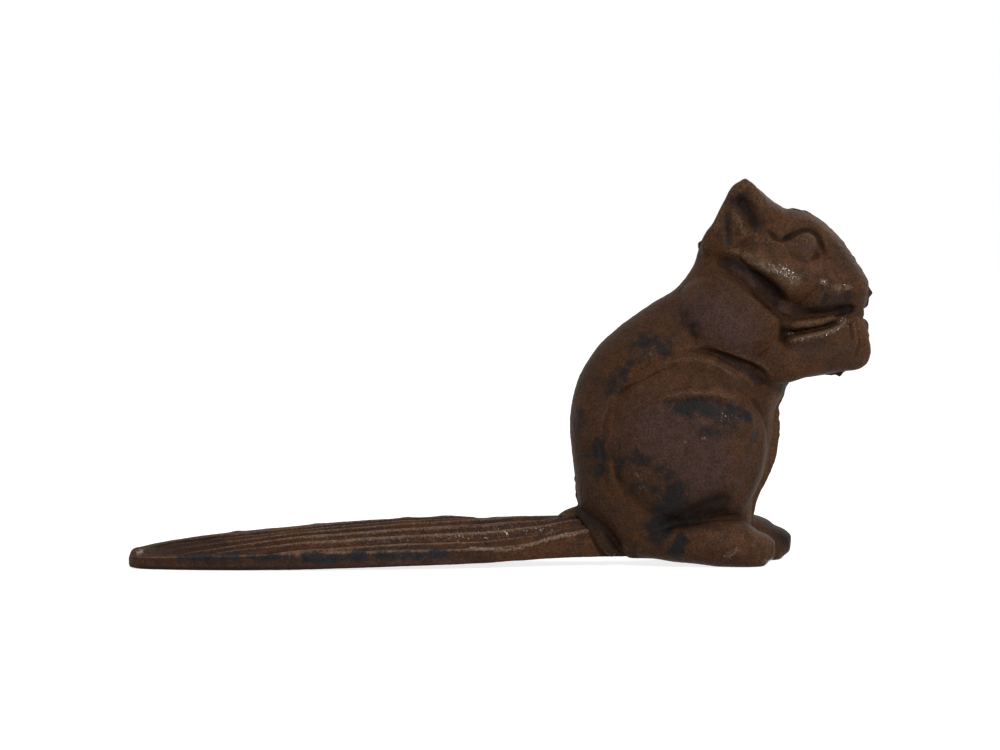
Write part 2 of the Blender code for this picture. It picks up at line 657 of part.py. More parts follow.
def one_side(form, side):
    """The part of the form on one side of the joint, with half the joint's gap taken off it."""
    return kept_side(form, (0, side * JOINT_GAP / 2, 0), (0, side, 0))


def tail_section(row, top, clearance=0.0):
    """One section of the tail: a flat underside, upright edges and a crowned top.

    The top's points are given from the left edge to the right one, each as a share of the half width and how
    far it drops below the crown.
    """
    x, width, under, edge, ridge = row
    width += clearance
    under -= clearance
    ring = [Vector((x, -width, under)), Vector((x, width, under))]
    for share, drop in top:
        crown = edge + clearance + (ridge - edge) * (1 - abs(share) ** TAIL_CROWN)
        ring.append(Vector((x, width * share, crown - drop)))
    return ring


def groove_line(path, rows):
    """A groove's line as distances along X, and its shares of the tail's half width there."""
    route = spaced(path, 6)[::-1]
    return route[:, 0], route[:, 1] / np.interp(route[:, 0], rows[:, 0], rows[:, 1])


def grooved_top(x, width, lines):
    """The top of one section, with points on the floor and the sides of each groove and on each ridge."""
    floors = [0.0, *[float(np.interp(x, line_x, shares)) for line_x, shares in lines], 1.0]
    half = [(0.0, 0.0)]
    for i, (line_x, _) in enumerate(lines, start=1):
        room = min(floors[i] - floors[i - 1], floors[i + 1] - floors[i])
        side = min(TAIL_GROOVE_SIDE / width, TAIL_GROOVE_MOST * room)
        depth = TAIL_GROOVE_DEPTH * tapered((x - line_x[0]) / (line_x[-1] - line_x[0]))
        half += [
            (floors[i] - side, depth * TAIL_GROOVE_SIDE_DEPTH),
            (floors[i], depth),
            (floors[i] + side, depth * TAIL_GROOVE_SIDE_DEPTH),
        ]
        if i < len(lines):
            half.append(((floors[i] + floors[i + 1]) / 2, 0.0))
    half.append((1.0, 0.0))
    return half[::-1] + [(-share, drop) for share, drop in half[1:]]


def ribbed_tail():
    """The solid tail, whose mesh lines follow its grooves, with its lug joined to the root."""
    rows = spaced(TAIL_STATIONS, 4)
    lines = [groove_line(path, rows) for path in TAIL_GROOVES]
    tail = lofted([tail_section(row, grooved_top(row[0], row[1], lines)) for row in rows])
    for vertex in tail.verts:
        if vertex.co.z < SOLE_SNAP:
            vertex.co.z = 0.0
    lug = block((LUG_X[0], -LUG_HALF_WIDTH, LUG_Z[0]), (LUG_X[1], LUG_HALF_WIDTH, LUG_Z[1]))
    return joined(tail, lug)


def tail_pocket():
    """The room that the halves leave for the tail's root and its lug."""
    rows = [row for row in spaced(TAIL_STATIONS, 4) if row[0] > POCKET_START_X]
    rows[-1][0] = POCKET_END_X
    top = [(share, 0.0) for share in np.linspace(1, -1, POCKET_TOP_SIDES + 1)]
    sections = [tail_section(row, top, POCKET_GAP) for row in rows]
    for section in sections:
        for corner in section[:2]:
            corner.z = POCKET_FLOOR_Z
    low = Vector((LUG_X[0], -LUG_HALF_WIDTH, LUG_Z[0]))
    high = Vector((LUG_X[1], LUG_HALF_WIDTH, LUG_Z[1]))
    gap = Vector((POCKET_GAP, POCKET_GAP, POCKET_GAP))
    return joined(lofted(sections), block(low - gap, high + gap))


def core():
    """The sand core, with a hole through it where the screw bosses stand."""
    form = slab_form(CORE_STATIONS, steps=2, sides=20, fullness=CORE_FULLNESS)
    return cut(form, side_rod(SCREW_X, SCREW_Z, BOSS_RADIUS, -OUTSIDE_Y, OUTSIDE_Y))


def right_half(figure):
    half = cut(one_side(figure, RIGHT), core(), tail_pocket())
    half = cut(half, side_rod(SCREW_X, SCREW_Z, TAPPED_RADIUS, TAPPED_END_Y, CUT_PAST))
    for x, z in PEG_SITES:
        socket_end = -PEG_REACH - PEG_GAP
        half = cut(half, side_rod(x, z, PEG_RADIUS + PEG_GAP, socket_end, CUT_PAST, sides=20))
    return half


def left_half(figure):
    fins = gathered(flash_fins(figure))
    half = cut(joined(one_side(figure, LEFT), fins), core(), tail_pocket())
    seat_y = SCREW_TOP_Y - SCREW_HEAD_HEIGHT
    seat_radius = SCREW_HEAD_RADIUS + SEAT_GAP
    half = cut(
        half,
        side_rod(SCREW_X, SCREW_Z, CLEARANCE_RADIUS, -CUT_PAST, seat_y + CUT_PAST),
        side_rod(SCREW_X, SCREW_Z, CLEARANCE_RADIUS, seat_y, SCREW_TOP_Y, end_radius=seat_radius),
        side_rod(SCREW_X, SCREW_Z, seat_radius, SCREW_TOP_Y, OUTSIDE_Y),
    )
    for x, z in PEG_SITES:
        half = joined(half, side_rod(x, z, PEG_RADIUS, -PEG_REACH, PEG_ROOT_Y, sides=20))
    return half


def clamp_screw():
    """A countersunk screw, turned about its axis, with a slot across its head."""
    head_base_y = SCREW_TOP_Y - SCREW_HEAD_HEIGHT
    profile = [
        (0.0, SCREW_END_Y),
        (SCREW_RADIUS - SCREW_POINT_CHAMFER, SCREW_END_Y),
        (SCREW_RADIUS, SCREW_END_Y + SCREW_POINT_CHAMFER),
        (SCREW_RADIUS, head_base_y),
        (SCREW_HEAD_RADIUS, SCREW_TOP_Y - SCREW_HEAD_CHAMFER),
        (SCREW_HEAD_RADIUS - SCREW_HEAD_CHAMFER, SCREW_TOP_Y),
        (0.0, SCREW_TOP_Y),
    ]
    form = bmesh.new()
    line = [form.verts.new((SCREW_X + radius, y, SCREW_Z)) for radius, y in profile]
    edges = [form.edges.new(pair) for pair in zip(line, line[1:])]
    bmesh.ops.spin(
        form,
        geom=line + edges,
        cent=(SCREW_X, 0, SCREW_Z),
        axis=(0, 1, 0),
        angle=math.tau,
        steps=28,
        use_merge=True,
    )
    bmesh.ops.remove_doubles(form, verts=form.verts, dist=MERGE_DISTANCE)
    bmesh.ops.recalc_face_normals(form, faces=form.faces)
    slot_reach = SCREW_HEAD_RADIUS + CUT_PAST
    slot = block(
        (SCREW_X - slot_reach, SCREW_TOP_Y - SLOT_DEPTH, SCREW_Z - SLOT_WIDTH / 2),
        (SCREW_X + slot_reach, SCREW_TOP_Y + CUT_PAST, SCREW_Z + SLOT_WIDTH / 2),
    )
    bmesh.ops.rotate(
        slot,
        verts=slot.verts,
        cent=(SCREW_X, 0, SCREW_Z),
        matrix=Matrix.Rotation(math.radians(SLOT_TURN), 3, "Y"),
    )
    return cut(form, slot)


def finish(name, colour, roughness, metallic):
    material = bpy.data.materials.new(name)
    material.use_nodes = True
    shader = material.node_tree.nodes["Principled BSDF"]
    shader.inputs["Base Color"].default_value = (*colour, 1)
    shader.inputs["Roughness"].default_value = roughness
    shader.inputs["Metallic"].default_value = metallic
    return material


def placed(name, form, middle, material):
    """The finished piece as a named object in metres, with the whole object's middle over the origin."""
    form.transform(Matrix.Scale(MM, 4) @ Matrix.Translation(-middle))
    bmesh.ops.triangulate(form, faces=form.faces)
    mesh = bpy.data.meshes.new(name)
    form.to_mesh(mesh)
    form.free()
    mesh.shade_smooth()
    mesh.set_sharp_from_angle(angle=math.radians(SHARP_ANGLE))
    mesh.materials.append(material)
    piece = bpy.data.objects.new(name, mesh)
    bpy.context.scene.collection.objects.link(piece)
    return piece


def main():
    for old in list(bpy.data.objects):
        bpy.data.objects.remove(old, do_unlink=True)
    rust_brown = finish("rust_brown_iron", *RUST_BROWN_IRON)
    screw_steel = finish("browned_screw_steel", *BROWNED_SCREW_STEEL)
    pieces = {
        "right_half": (right_half(squirrel(RIGHT)), rust_brown),
        "left_half": (left_half(squirrel(LEFT)), rust_brown),
        "tail_wedge": (ribbed_tail(), rust_brown),
        "clamp_screw": (clamp_screw(), screw_steel),
    }
    corners = np.array([vertex.co for form, _ in pieces.values() for vertex in form.verts])
    low, high = corners.min(axis=0), corners.max(axis=0)
    middle = Vector(((low[0] + high[0]) / 2, (low[1] + high[1]) / 2, low[2]))
    for name, (form, material) in pieces.items():
        placed(name, form, middle, material)


main()
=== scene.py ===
import math

import bmesh
import bpy
import numpy as np
from mathutils import Matrix, Vector, noise


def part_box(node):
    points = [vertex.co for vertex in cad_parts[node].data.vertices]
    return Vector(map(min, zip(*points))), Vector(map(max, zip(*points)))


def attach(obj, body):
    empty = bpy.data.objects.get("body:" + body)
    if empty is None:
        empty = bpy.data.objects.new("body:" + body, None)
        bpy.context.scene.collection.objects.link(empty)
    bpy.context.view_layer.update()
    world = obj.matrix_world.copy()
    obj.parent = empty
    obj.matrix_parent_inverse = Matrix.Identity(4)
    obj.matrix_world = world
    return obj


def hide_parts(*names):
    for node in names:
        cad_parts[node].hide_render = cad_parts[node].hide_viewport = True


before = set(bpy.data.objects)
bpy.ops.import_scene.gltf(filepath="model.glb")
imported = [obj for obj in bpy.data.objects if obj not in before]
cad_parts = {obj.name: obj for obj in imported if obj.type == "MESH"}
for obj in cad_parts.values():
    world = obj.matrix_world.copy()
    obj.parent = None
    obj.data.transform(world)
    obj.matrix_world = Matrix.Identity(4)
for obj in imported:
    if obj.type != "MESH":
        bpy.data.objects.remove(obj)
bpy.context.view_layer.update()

# A cast iron doorstop: a sitting squirrel in two cast halves, its ribbed tail as the wedge, and the screw
# that clamps them. Places and sizes are in millimetres. The squirrel faces +X, and its right side is -Y.
mm = 0.001
right = -1
left = 1

screwLow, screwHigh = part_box("clamp_screw")
screwX = 57.0
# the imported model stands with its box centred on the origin
shiftX = (screwLow.x + screwHigh.x) / 2 / mm - screwX
print("frame loaded, shift along X", round(shiftX, 2), "mm")

trunk = {
    # each station is a point on the back, a point on the front, and the half width between them
    "stations": [
        ((36.6, 2.2), (77.5, 2.2), 13.5),
        ((31.4, 8.4), (79.6, 9), 16.6),
        ((25.2, 18.4), (82, 20), 18),
        ((23.4, 32), (87.6, 31.5), 18),
        ((22.4, 46), (89.2, 42), 18),
        ((25.1, 58.5), (89.2, 49), 18),
        ((31.5, 69.2), (91.2, 54), 17.5),
        ((41.4, 77.7), (93, 60), 16.5),
        ((50.8, 83.9), (95.5, 66), 15.2),
        ((57, 87.8), (98, 69.6), 14.4),
        ((62.4, 94.4), (101.4, 72.4), 13.6),
        ((65, 101.4), (104.8, 74.2), 13.2),
        ((69.6, 107.2), (107.6, 75.4), 13.2),
        ((79, 112.2), (110.4, 76.6), 12.8),
        ((90.6, 112.8), (112.8, 77.6), 12),
        ((101.2, 110.2), (114.6, 78.8), 10.8),
        ((109, 103), (116.2, 80.4), 9.4),
        ((114.5, 95.2), (117.2, 82), 7.4),
        ((118.2, 89.2), (117.8, 84), 4.2),
    ],
    "fullness": 2.25,
}

# given like the trunk, with how far the ear's middle stands from the joint
ear = {
    "stations": [
        ((67.4, 95), (86, 97.4), 3.8, 4),
        ((65, 100.6), (87, 102.6), 5, 6.2),
        ((66.4, 105), (86.2, 105.3), 4.9, 7.4),
        ((68.7, 108), (85.5, 107.8), 4.5, 8.2),
        ((70.2, 110.6), (85.2, 110.6), 4.1, 8.7),
        ((71.4, 113.2), (85.2, 113.6), 3.7, 9.1),
        ((72.8, 115.8), (84.7, 116.3), 3.3, 9.5),
        ((74.2, 118.3), (83.4, 118.8), 2.8, 9.8),
        ((75.6, 120.3), (81.9, 120.7), 2.2, 10),
        ((77.6, 121.5), (80.7, 121.8), 1.5, 10),
        ((78.8, 122.4), (80, 122.5), 0.8, 10),
    ],
    "fullness": 2.5,
}

# the moulds draw straight off sideways, so iron fills the space between the ears and between the forearms
webs = {
    "ears": {
        "stations": [
            ((69, 104), (96.6, 108.6), 9.4),
            ((71.4, 109.4), (92.4, 112.2), 9),
            ((73.6, 113.4), (87.6, 115.4), 8.6),
            ((75.6, 116.6), (84.6, 118), 8),
            ((77.8, 118.6), (82.4, 119.8), 7),
        ],
        "fullness": 2.25,
    },
    "arms": {
        "stations": [
            ((86, 58.2), (99.4, 59.2), 5),
            ((88, 61.2), (111.6, 61.3), 6),
            ((90, 66), (116.7, 66.2), 6),
            ((92, 71), (117.9, 71.6), 5.4),
            ((94, 76), (117.2, 76.4), 4.6),
            ((96, 78.6), (113, 79), 3.6),
        ],
        "fullness": 2.25,
    },
}

# rounded masses that swell out of the trunk on each side
masses = {
    "haunch": {"centre": (59.6, 8, 38.4), "radii": (25.8, 15.6, 28.2), "tilt": -6, "fullness": 3.2},
    "shoulder": {"centre": (74.6, 4.6, 77), "radii": (18.8, 15.2, 14.6), "tilt": 32, "fullness": 2.6},
    "neck": {"centre": (77, 3, 87.6), "radii": (13, 13, 12.6), "tilt": 0, "fullness": 2},
    "cheek": {"centre": (93.6, 5.4, 92.8), "radii": (20, 11.2, 10.4), "tilt": 33, "fullness": 2.5},
    "eyeball": {"centre": (97.8, 9.4, 100.9), "radii": (5.4, 4.6, 5), "tilt": 10, "fullness": 2.2},
    "tailHump": {"centre": (25, 0.6, 16.1), "radii": (8.4, 3.6, 2.3), "tilt": -16, "fullness": 2},
}

# each station of a limb is a point on its line, its half width and its half height
limbs = {
    "foot": {
        "stations": [
            (44, 9.6, 7.2, 5.6, 4.4), (54, 10.6, 8, 9, 6.6), (66, 11.4, 7.7, 10.6, 7.5),
            (74, 11.6, 6.6, 10.6, 7.8), (80, 11.6, 5, 9.8, 6.8), (84.4, 11.5, 5, 7.8, 4.9),
            (87.4, 11.4, 4.8, 4.4, 2.6),
        ],
        "fullness": 2.5,
    },
    "forearm": {
        "stations": [
            (72, 5, 64, 3, 4), (82, 9.4, 63.6, 5.4, 6), (90, 11.2, 64.6, 6.4, 7.2),
            (98, 10.2, 66.4, 6.4, 7), (105.5, 7.8, 67.8, 5.9, 7.4), (111.4, 5.4, 69.6, 5.4, 8.9),
            (115.2, 3.8, 70.6, 4, 8), (117.2, 2.6, 71, 2.2, 5.6),
        ],
        "fullness": 2.2,
    },
    "jaw": {
        "stations": [
            (86, 8.6, 75.2, 2.4, 2), (96, 9.8, 76.4, 3, 2.4), (104, 8, 77.2, 3, 2.4),
            (111.5, 4.6, 78.6, 3, 2.6), (115.4, 2, 80.4, 2.4, 2.8),
        ],
        "fullness": 2,
    },
    "rumpLip": {
        "stations": [
            (25.4, 1, 17, 2, 2.2), (28.6, 6.6, 14.4, 2.4, 2.6), (31.6, 9.8, 10.8, 2.6, 2.6),
            (34.4, 11.2, 6.2, 2.4, 2.2), (36.8, 11.6, 3.6, 1.9, 1.6),
        ],
        "fullness": 2,
    },
}
# the two mould halves didn't meet squarely: the near belly stops short of the far one between these heights,
# and the far foot stands ahead
rightBellySetback = {"highZ": 56.0, "lowZ": 10.0, "most": 2.3}
leftFootLead = 5.2

figureFinish = {
    "voxel": 0.48,
    "softening": 0.5, "softenPasses": 14, "strokeSoftenPasses": 2,
    # height of the skin's slow waves and of its fine grain, and their lengths
    "castWave": 0.14, "castGrain": 0.06, "waveMm": 7.0, "grainMm": 1.3,
    "beyondJoint": 2.0,    # kept of the other half while the strokes are pressed in
    "slabSteps": 6, "slabSides": 56, "earSides": 36,
    "limbSteps": 5, "limbSides": 32,
    "massTurns": 64, "massRings": 40,
}
# the right half's edge falls away at the seam, and iron is pressed up beside it
seamEdge = {"fall": 0.65, "fallReach": 0.7, "lip": 0.3, "lipFromJoint": 1.3, "lipReach": 0.6}


def smoothCurve(points, steps):
    # a smooth curve through the points, with so many steps between each two
    rows = np.array(points, float)
    padded = np.vstack([2 * rows[0] - rows[1], rows, 2 * rows[-1] - rows[-2]])
    t = (np.arange(steps) / steps)[:, None]
    found = []
    for before, start, end, after in zip(padded, padded[1:], padded[2:], padded[3:]):
        bend = (2 * before - 5 * start + 4 * end - after) * t**2
        twist = (3 * start - 3 * end + after - before) * t**3
        found.append(0.5 * (2 * start + (end - before) * t + bend + twist))
    return np.vstack(found + [rows[-1:]])


def turnsRound(sides):
    return np.linspace(0, math.tau, sides, endpoint=False)


def loft(rings):
    # a closed skin over rings of points, capped at both ends
    form = bmesh.new()
    loops = [[form.verts.new(point) for point in ring] for ring in rings]
    count = len(loops[0])
    for near, far in zip(loops, loops[1:]):
        for i in range(count):
            j = (i + 1) % count
            form.faces.new((near[i], near[j], far[j], far[i]))
    form.faces.new(loops[0][::-1])
    form.faces.new(loops[-1])
    bmesh.ops.recalc_face_normals(form, faces=form.faces)
    return form


def roundedSquare(turn, fullness):
    across, out = math.cos(turn), math.sin(turn)
    across = math.copysign(abs(across) ** (2 / fullness), across)
    return across, math.copysign(abs(out) ** (2 / fullness), out)


def slabForm(slab, side=0, sides=figureFinish["slabSides"]):
    # a loft across stations that run from a back point to a front point
    flat = [(*back, *front, *rest) for back, front, *rest in slab["stations"]]
    rings = []
    for backX, backZ, frontX, frontZ, width, *off in smoothCurve(flat, figureFinish["slabSteps"]):
        offJoint = side * off[0] if off else 0.0
        middle = Vector(((backX + frontX) / 2, offJoint, (backZ + frontZ) / 2))
        reach = Vector(((frontX - backX) / 2, 0, (frontZ - backZ) / 2))
        ring = []
        for turn in turnsRound(sides):
            across, out = roundedSquare(turn, slab["fullness"])
            ring.append(middle + reach * across + Vector((0, width * out, 0)))
        rings.append(ring)
    return loft(rings)


def trunkForm(side):
    low, high = rightBellySetback["lowZ"], rightBellySetback["highZ"]
    stations = []
    for back, (frontX, frontZ), width in trunk["stations"]:
        share = min(1.0, max(0.0, (frontZ - low) / (high - low)))
        setback = rightBellySetback["most"] * math.sin(math.pi * share) if side == right else 0.0
        stations.append((back, (frontX - setback, frontZ), width))
    return slabForm({"stations": stations, "fullness": trunk["fullness"]})


def massForm(shape, side):
    # an ellipsoid whose outer face flattens as its fullness rises above 2
    form = bmesh.new()
    turns, rings = figureFinish["massTurns"], figureFinish["massRings"]
    bmesh.ops.create_uvsphere(form, u_segments=turns, v_segments=rings, radius=1)
    bmesh.ops.rotate(form, verts=form.verts, matrix=Matrix.Rotation(math.pi / 2, 3, "X"))
    radii = Vector(shape["radii"])
    turn = Matrix.Rotation(math.radians(shape["tilt"]), 3, "Y")
    x, y, z = shape["centre"]
    centre = Vector((x, side * y, z))
    for vertex in form.verts:
        fromAxis = min(1.0, math.hypot(vertex.co.x, vertex.co.z))
        rise = math.sqrt(max(0.0, 1 - fromAxis ** shape["fullness"]))
        unit = Vector((vertex.co.x, math.copysign(rise, vertex.co.y), vertex.co.z))
        vertex.co = centre + turn @ Vector(a * b for a, b in zip(unit, radii))
    bmesh.ops.recalc_face_normals(form, faces=form.faces)
    return form


def limbForm(limb, side, lead=0.0):
    path = smoothCurve(limb["stations"], figureFinish["limbSteps"])
    points = [Vector((x + lead, side * y, z)) for x, y, z, _, _ in path]
    rings = []
    for i, (point, row) in enumerate(zip(points, path)):
        along = (points[min(i + 1, len(points) - 1)] - points[max(i - 1, 0)]).normalized()
        outward = (Vector((0, 1, 0)) - along * along.y).normalized()
        upward = outward.cross(along)
        ring = []
        for turn in turnsRound(figureFinish["limbSides"]):
            across, over = roundedSquare(turn, limb["fullness"])
            ring.append(point + outward * row[3] * across + upward * row[4] * over)
        rings.append(ring)
    return loft(rings)


def meshOf(form, name):
    mesh = bpy.data.meshes.new(name)
    form.to_mesh(mesh)
    form.free()
    return mesh


def formOf(mesh):
    form = bmesh.new()
    form.from_mesh(mesh)
    bpy.data.meshes.remove(mesh)
    return form


def linkedObject(name, data):
    made = bpy.data.objects.new(name, data)
    bpy.context.scene.collection.objects.link(made)
    return made


def worked(form, *steps):
    # the form after a chain of modifiers, each given as its kind and its settings
    work = linkedObject("scratch", meshOf(form, "scratch"))
    for kind, settings in steps:
        modifier = work.modifiers.new(kind, kind)
        for name, value in settings.items():
            setattr(modifier, name, value)
    bpy.context.view_layer.update()
    graph = bpy.context.evaluated_depsgraph_get()
    result = bmesh.new()
    result.from_mesh(bpy.data.meshes.new_from_object(work.evaluated_get(graph)))
    bpy.data.objects.remove(work)
    return result


def cutOrJoined(form, other, operation):
    tool = linkedObject("scratch", meshOf(other, "scratch"))
    result = worked(form, ("BOOLEAN", {"operation": operation, "object": tool}))
    bpy.data.objects.remove(tool)
    return result


def gathered(forms):
    whole = bmesh.new()
    for form in forms:
        mesh = meshOf(form, "scratch")
        whole.from_mesh(mesh)
        bpy.data.meshes.remove(mesh)
    return whole


def block(low, high):
    form = bmesh.new()
    bmesh.ops.create_cube(form, size=1)
    size = Vector(high) - Vector(low)
    middle = (Vector(high) + Vector(low)) / 2
    for vertex in form.verts:
        vertex.co = middle + Vector(a * b for a, b in zip(vertex.co, size))
    return form


def cutByPlane(form, point, direction, **settings):
    # the edges that a plane's cut leaves on it
    geometry = form.verts[:] + form.edges[:] + form.faces[:]
    found = bmesh.ops.bisect_plane(form, geom=geometry, plane_co=point, plane_no=direction, **settings)
    return [item for item in found["geom_cut"] if isinstance(item, bmesh.types.BMEdge)]


def keptSide(form, point, direction):
    edges = cutByPlane(form, point, direction, clear_inner=True)
    bmesh.ops.triangle_fill(form, edges=edges, use_beauty=True)
    bmesh.ops.recalc_face_normals(form, faces=form.faces)
    return form


# Strokes of the modelling tool: their kind, width, depth and path in the side view. A groove or a ridge is
# deepest on its path. A step raises what lies to the left of its direction and drops what lies to its right.
strokes = [
    # ear: a broad scoop under its steep front rim, a low fold behind that, the groove inside its back rim
    ("groove", 2.8, 2.2, [(76.8, 117), (78.7, 114.8), (80.3, 112.3), (81.8, 109.7), (83, 106.6)]),
    ("ridge", 1.6, 0.5, [(77, 111.6), (78, 107), (79.4, 103)]),
    ("groove", 1.4, 0.6, [(75, 117.4), (73.8, 114), (73.2, 110), (73.4, 105.4), (74.8, 101.2)]),
    ("ridge", 1.0, 0.7, [(80.4, 121.6), (82.8, 119), (84.8, 116.2), (85.6, 112.4), (85.9, 107.4)]),
    ("ridge", 1.1, 0.4, [(75.8, 120), (73.2, 116.2), (71.2, 112), (70, 108.6), (69.4, 104)]),
    # heavy upper lid, which dips behind the eye and drops again in front of it, and the brow above it
    ("groove", 0.8, 1.4, [(86, 106.8), (88.1, 104.2), (90.8, 103.2), (93.2, 104.1), (95.5, 105.3),
        (98.2, 106), (100.5, 105.4), (102.4, 103.7), (103.7, 100.4), (105, 97.8)]),
    ("ridge", 1.5, 0.35, [(87, 108), (90.8, 106.4), (95.2, 108.6), (99.6, 108.4), (103.8, 105.6),
        (106.4, 101.6)]),
    ("groove", 0.75, 0.6, [(92.4, 103.4), (92.6, 100.4), (94.6, 97.4), (98, 96.1), (101.4, 97.2),
        (103.2, 99.4)]),
    ("groove", 1.0, 0.5, [(103.6, 99.4), (105.4, 97.6), (107.4, 96.6)]),
    # cheek ruff: a broad rounded roll that overhangs the throat, and the soft fold of the muzzle before it
    ("ridge", 3.0, 1.1, [(71, 101), (76, 100.2), (81, 98.6), (86.6, 95.8), (91.4, 92.8), (94.8, 89.8),
        (96.6, 86.6)]),
    ("step", 2.3, 1.6, [(69, 98.8), (74.6, 97), (79, 95.1), (83.2, 93), (87.6, 90), (90.6, 87), (93, 83)]),
    ("groove", 2.2, 1.3, [(69.4, 95.6), (74.3, 93.4), (79, 90.6), (82.6, 86.8), (86, 83.6), (90.4, 79.8)]),
    ("groove", 1.0, 0.7, [(93.6, 81.6), (95.6, 82.2), (97.6, 83.8), (99.8, 85.9), (103.4, 88.8)]),
    ("ridge", 1.6, 0.3, [(95, 80.6), (99, 81), (104.6, 82.6), (109.6, 84)]),
    ("ridge", 1.8, 0.5, [(103, 90.6), (107, 87.4), (112.6, 87.4)]),
    # mouth and its deep corner, the jaw, the gap between it and the forearm, and the toes held to the mouth
    ("groove", 0.9, 0.6, [(87.4, 80.2), (92, 78.6), (97, 78.4), (102, 78.8), (107.2, 79.5), (111.6, 80.6)]),
    ("groove", 1.5, 1.25, [(106.8, 79.2), (110.4, 80.1), (113.6, 81.2)]),
    ("ridge", 0.9, 0.4, [(90.6, 75.8), (96.2, 76), (101.7, 76.6), (106.3, 77.8)]),
    ("groove", 0.6, 0.8, [(91.2, 73.6), (94, 73.3), (97.5, 73.7), (101.2, 74.4), (104.6, 75.2),
        (109.4, 77.3)]),
    ("groove", 0.7, 1.1, [(111.4, 79.6), (112.1, 76.3), (112.8, 74), (113.2, 70.4)]),
    ("groove", 0.8, 0.8, [(114.4, 76.6), (115.2, 72.5), (115.1, 68.8), (113.4, 64)]),
    ("groove", 0.8, 0.35, [(104, 70.6), (108, 71.6), (111.6, 71)]),
    ("ridge", 1.0, 0.6, [(91.6, 71), (97.4, 72.2), (102.5, 73.4), (107.2, 74.4), (110.8, 76.4)]),
    # shoulder: its front edge, the deep fold under it, and the soft dip behind it
    ("step", 1.8, 0.7, [(88.2, 66.4), (89.8, 72), (89.6, 77), (86.4, 81.8), (81.6, 86.4), (76.5, 89.5),
        (70, 92.2)]),
    ("step", 1.3, 0.6, [(62, 70), (68.5, 68.1), (71.7, 67), (76.5, 65.3), (80.2, 64), (84.2, 62),
        (87.4, 59)]),
    ("groove", 0.6, 0.7, [(64, 69.2), (68.5, 67.9), (71.7, 66.8), (76.5, 65.1), (80.2, 63.8), (85, 61.4)]),
    ("groove", 2.2, 0.9, [(69.6, 66.4), (75.6, 63.4), (81, 60.2), (84.6, 56.4)]),
    ("groove", 2.6, 0.5, [(54.6, 84), (56.4, 78.4), (59.6, 74.4), (65, 71.4)]),
    # haunch: soft folds round its top and its back, and the front edge of the thigh
    ("step", 1.7, 0.55, [(80, 55), (74.4, 63), (68.4, 66.4), (61.9, 66.8), (54.6, 65.4), (46.8, 61.5),
        (40.6, 55.4), (36.8, 49.6)]),
    ("groove", 0.75, 0.6, [(36.6, 53.6), (42.2, 57.3), (46.5, 59.3), (50.3, 61.5), (54.5, 63.3), (61, 64.6)]),
    ("groove", 0.8, 0.4, [(47, 51.6), (51, 54.2), (55.6, 56), (60.9, 57.1), (66.3, 57), (71.5, 55.6)]),
    ("ridge", 1.1, 0.4, [(50, 52.6), (56, 54.6), (63, 55.3), (70.2, 54.7), (77, 52.6)]),
    ("groove", 0.8, 0.45, [(47.2, 49.6), (50.2, 51.8), (55, 52.8), (62, 53.2), (69, 52.8), (77, 50.8)]),
    ("groove", 1.2, 0.45, [(36.4, 54), (34.6, 48), (33.2, 42), (33, 35), (33.8, 27), (36.4, 20.4)]),
    ("ridge", 0.9, 0.45, [(36.4, 49.6), (35.6, 41), (35.5, 33), (36.2, 25)]),
    ("groove", 1.0, 0.4, [(38.9, 48), (38, 41), (38, 33), (38.9, 25.6)]),
    ("groove", 1.6, 0.8, [(81.2, 54), (82.8, 47), (82.6, 40), (81, 32.6), (78, 25.6), (73.6, 19)]),
    ("groove", 2.4, 1.1, [(50, 11.6), (56, 14.6), (62, 17.6), (68.4, 20.6), (74, 23.4)]),
    ("groove", 1.6, 0.7, [(60, 15.2), (67, 16.2), (74, 15.6), (80, 13.4)]),
    # groove between the tail and the lip that laps over it
    ("groove", 1.5, 0.5, [(28.6, 18.6), (32.4, 14.8), (36, 9.6), (38.4, 4)]),
]

# how soon a surface that faces sideways takes a stroke in full, how many widths off its path a stroke still
# counts, the share of its length over which each end fades, and how steep a step is
strokeShape = {"pathSteps": 6, "sideGain": 1.6, "reachWidths": 3.2, "fade": 0.2, "stepGain": 1.65}


def strokeField(flat, path):
    # distance from the path in the side view, positive to the left of its direction, and the share travelled
    route = smoothCurve(path, strokeShape["pathSteps"])
    lengths = np.linalg.norm(np.diff(route, axis=0), axis=1)
    travelled = np.concatenate([[0], np.cumsum(lengths)]) / lengths.sum()
    nearest = np.full(len(flat), np.inf)
    signed = np.zeros(len(flat))
    share = np.zeros(len(flat))
    for i, (start, end) in enumerate(zip(route, route[1:])):
        step = end - start
        offset = flat - start
        along = np.clip(offset @ step / (step @ step), 0, 1)
        distance = np.linalg.norm(offset - along[:, None] * step, axis=1)
        nearer = distance < nearest
        nearest[nearer] = distance[nearer]
        side = step[0] * offset[:, 1] - step[1] * offset[:, 0]
        signed[nearer] = (np.sign(side) * distance)[nearer]
        share[nearer] = (travelled[i] + along * (travelled[i + 1] - travelled[i]))[nearer]
    return signed, share


def bell(distance, reach):
    return np.exp(-((distance / reach) ** 2))


def fadedEnds(share, fade):
    return np.sin(np.pi / 2 * np.clip(np.minimum(share, 1 - share) / fade, 0, 1))


def placesAndNormals(mesh):
    found = []
    for source, value in ((mesh.vertices, "co"), (mesh.vertex_normals, "vector")):
        values = np.empty(len(source) * 3)
        source.foreach_get(value, values)
        found.append(values.reshape(-1, 3))
    return found


def setPlaces(mesh, places):
    mesh.vertices.foreach_set("co", places.ravel())
    mesh.update()


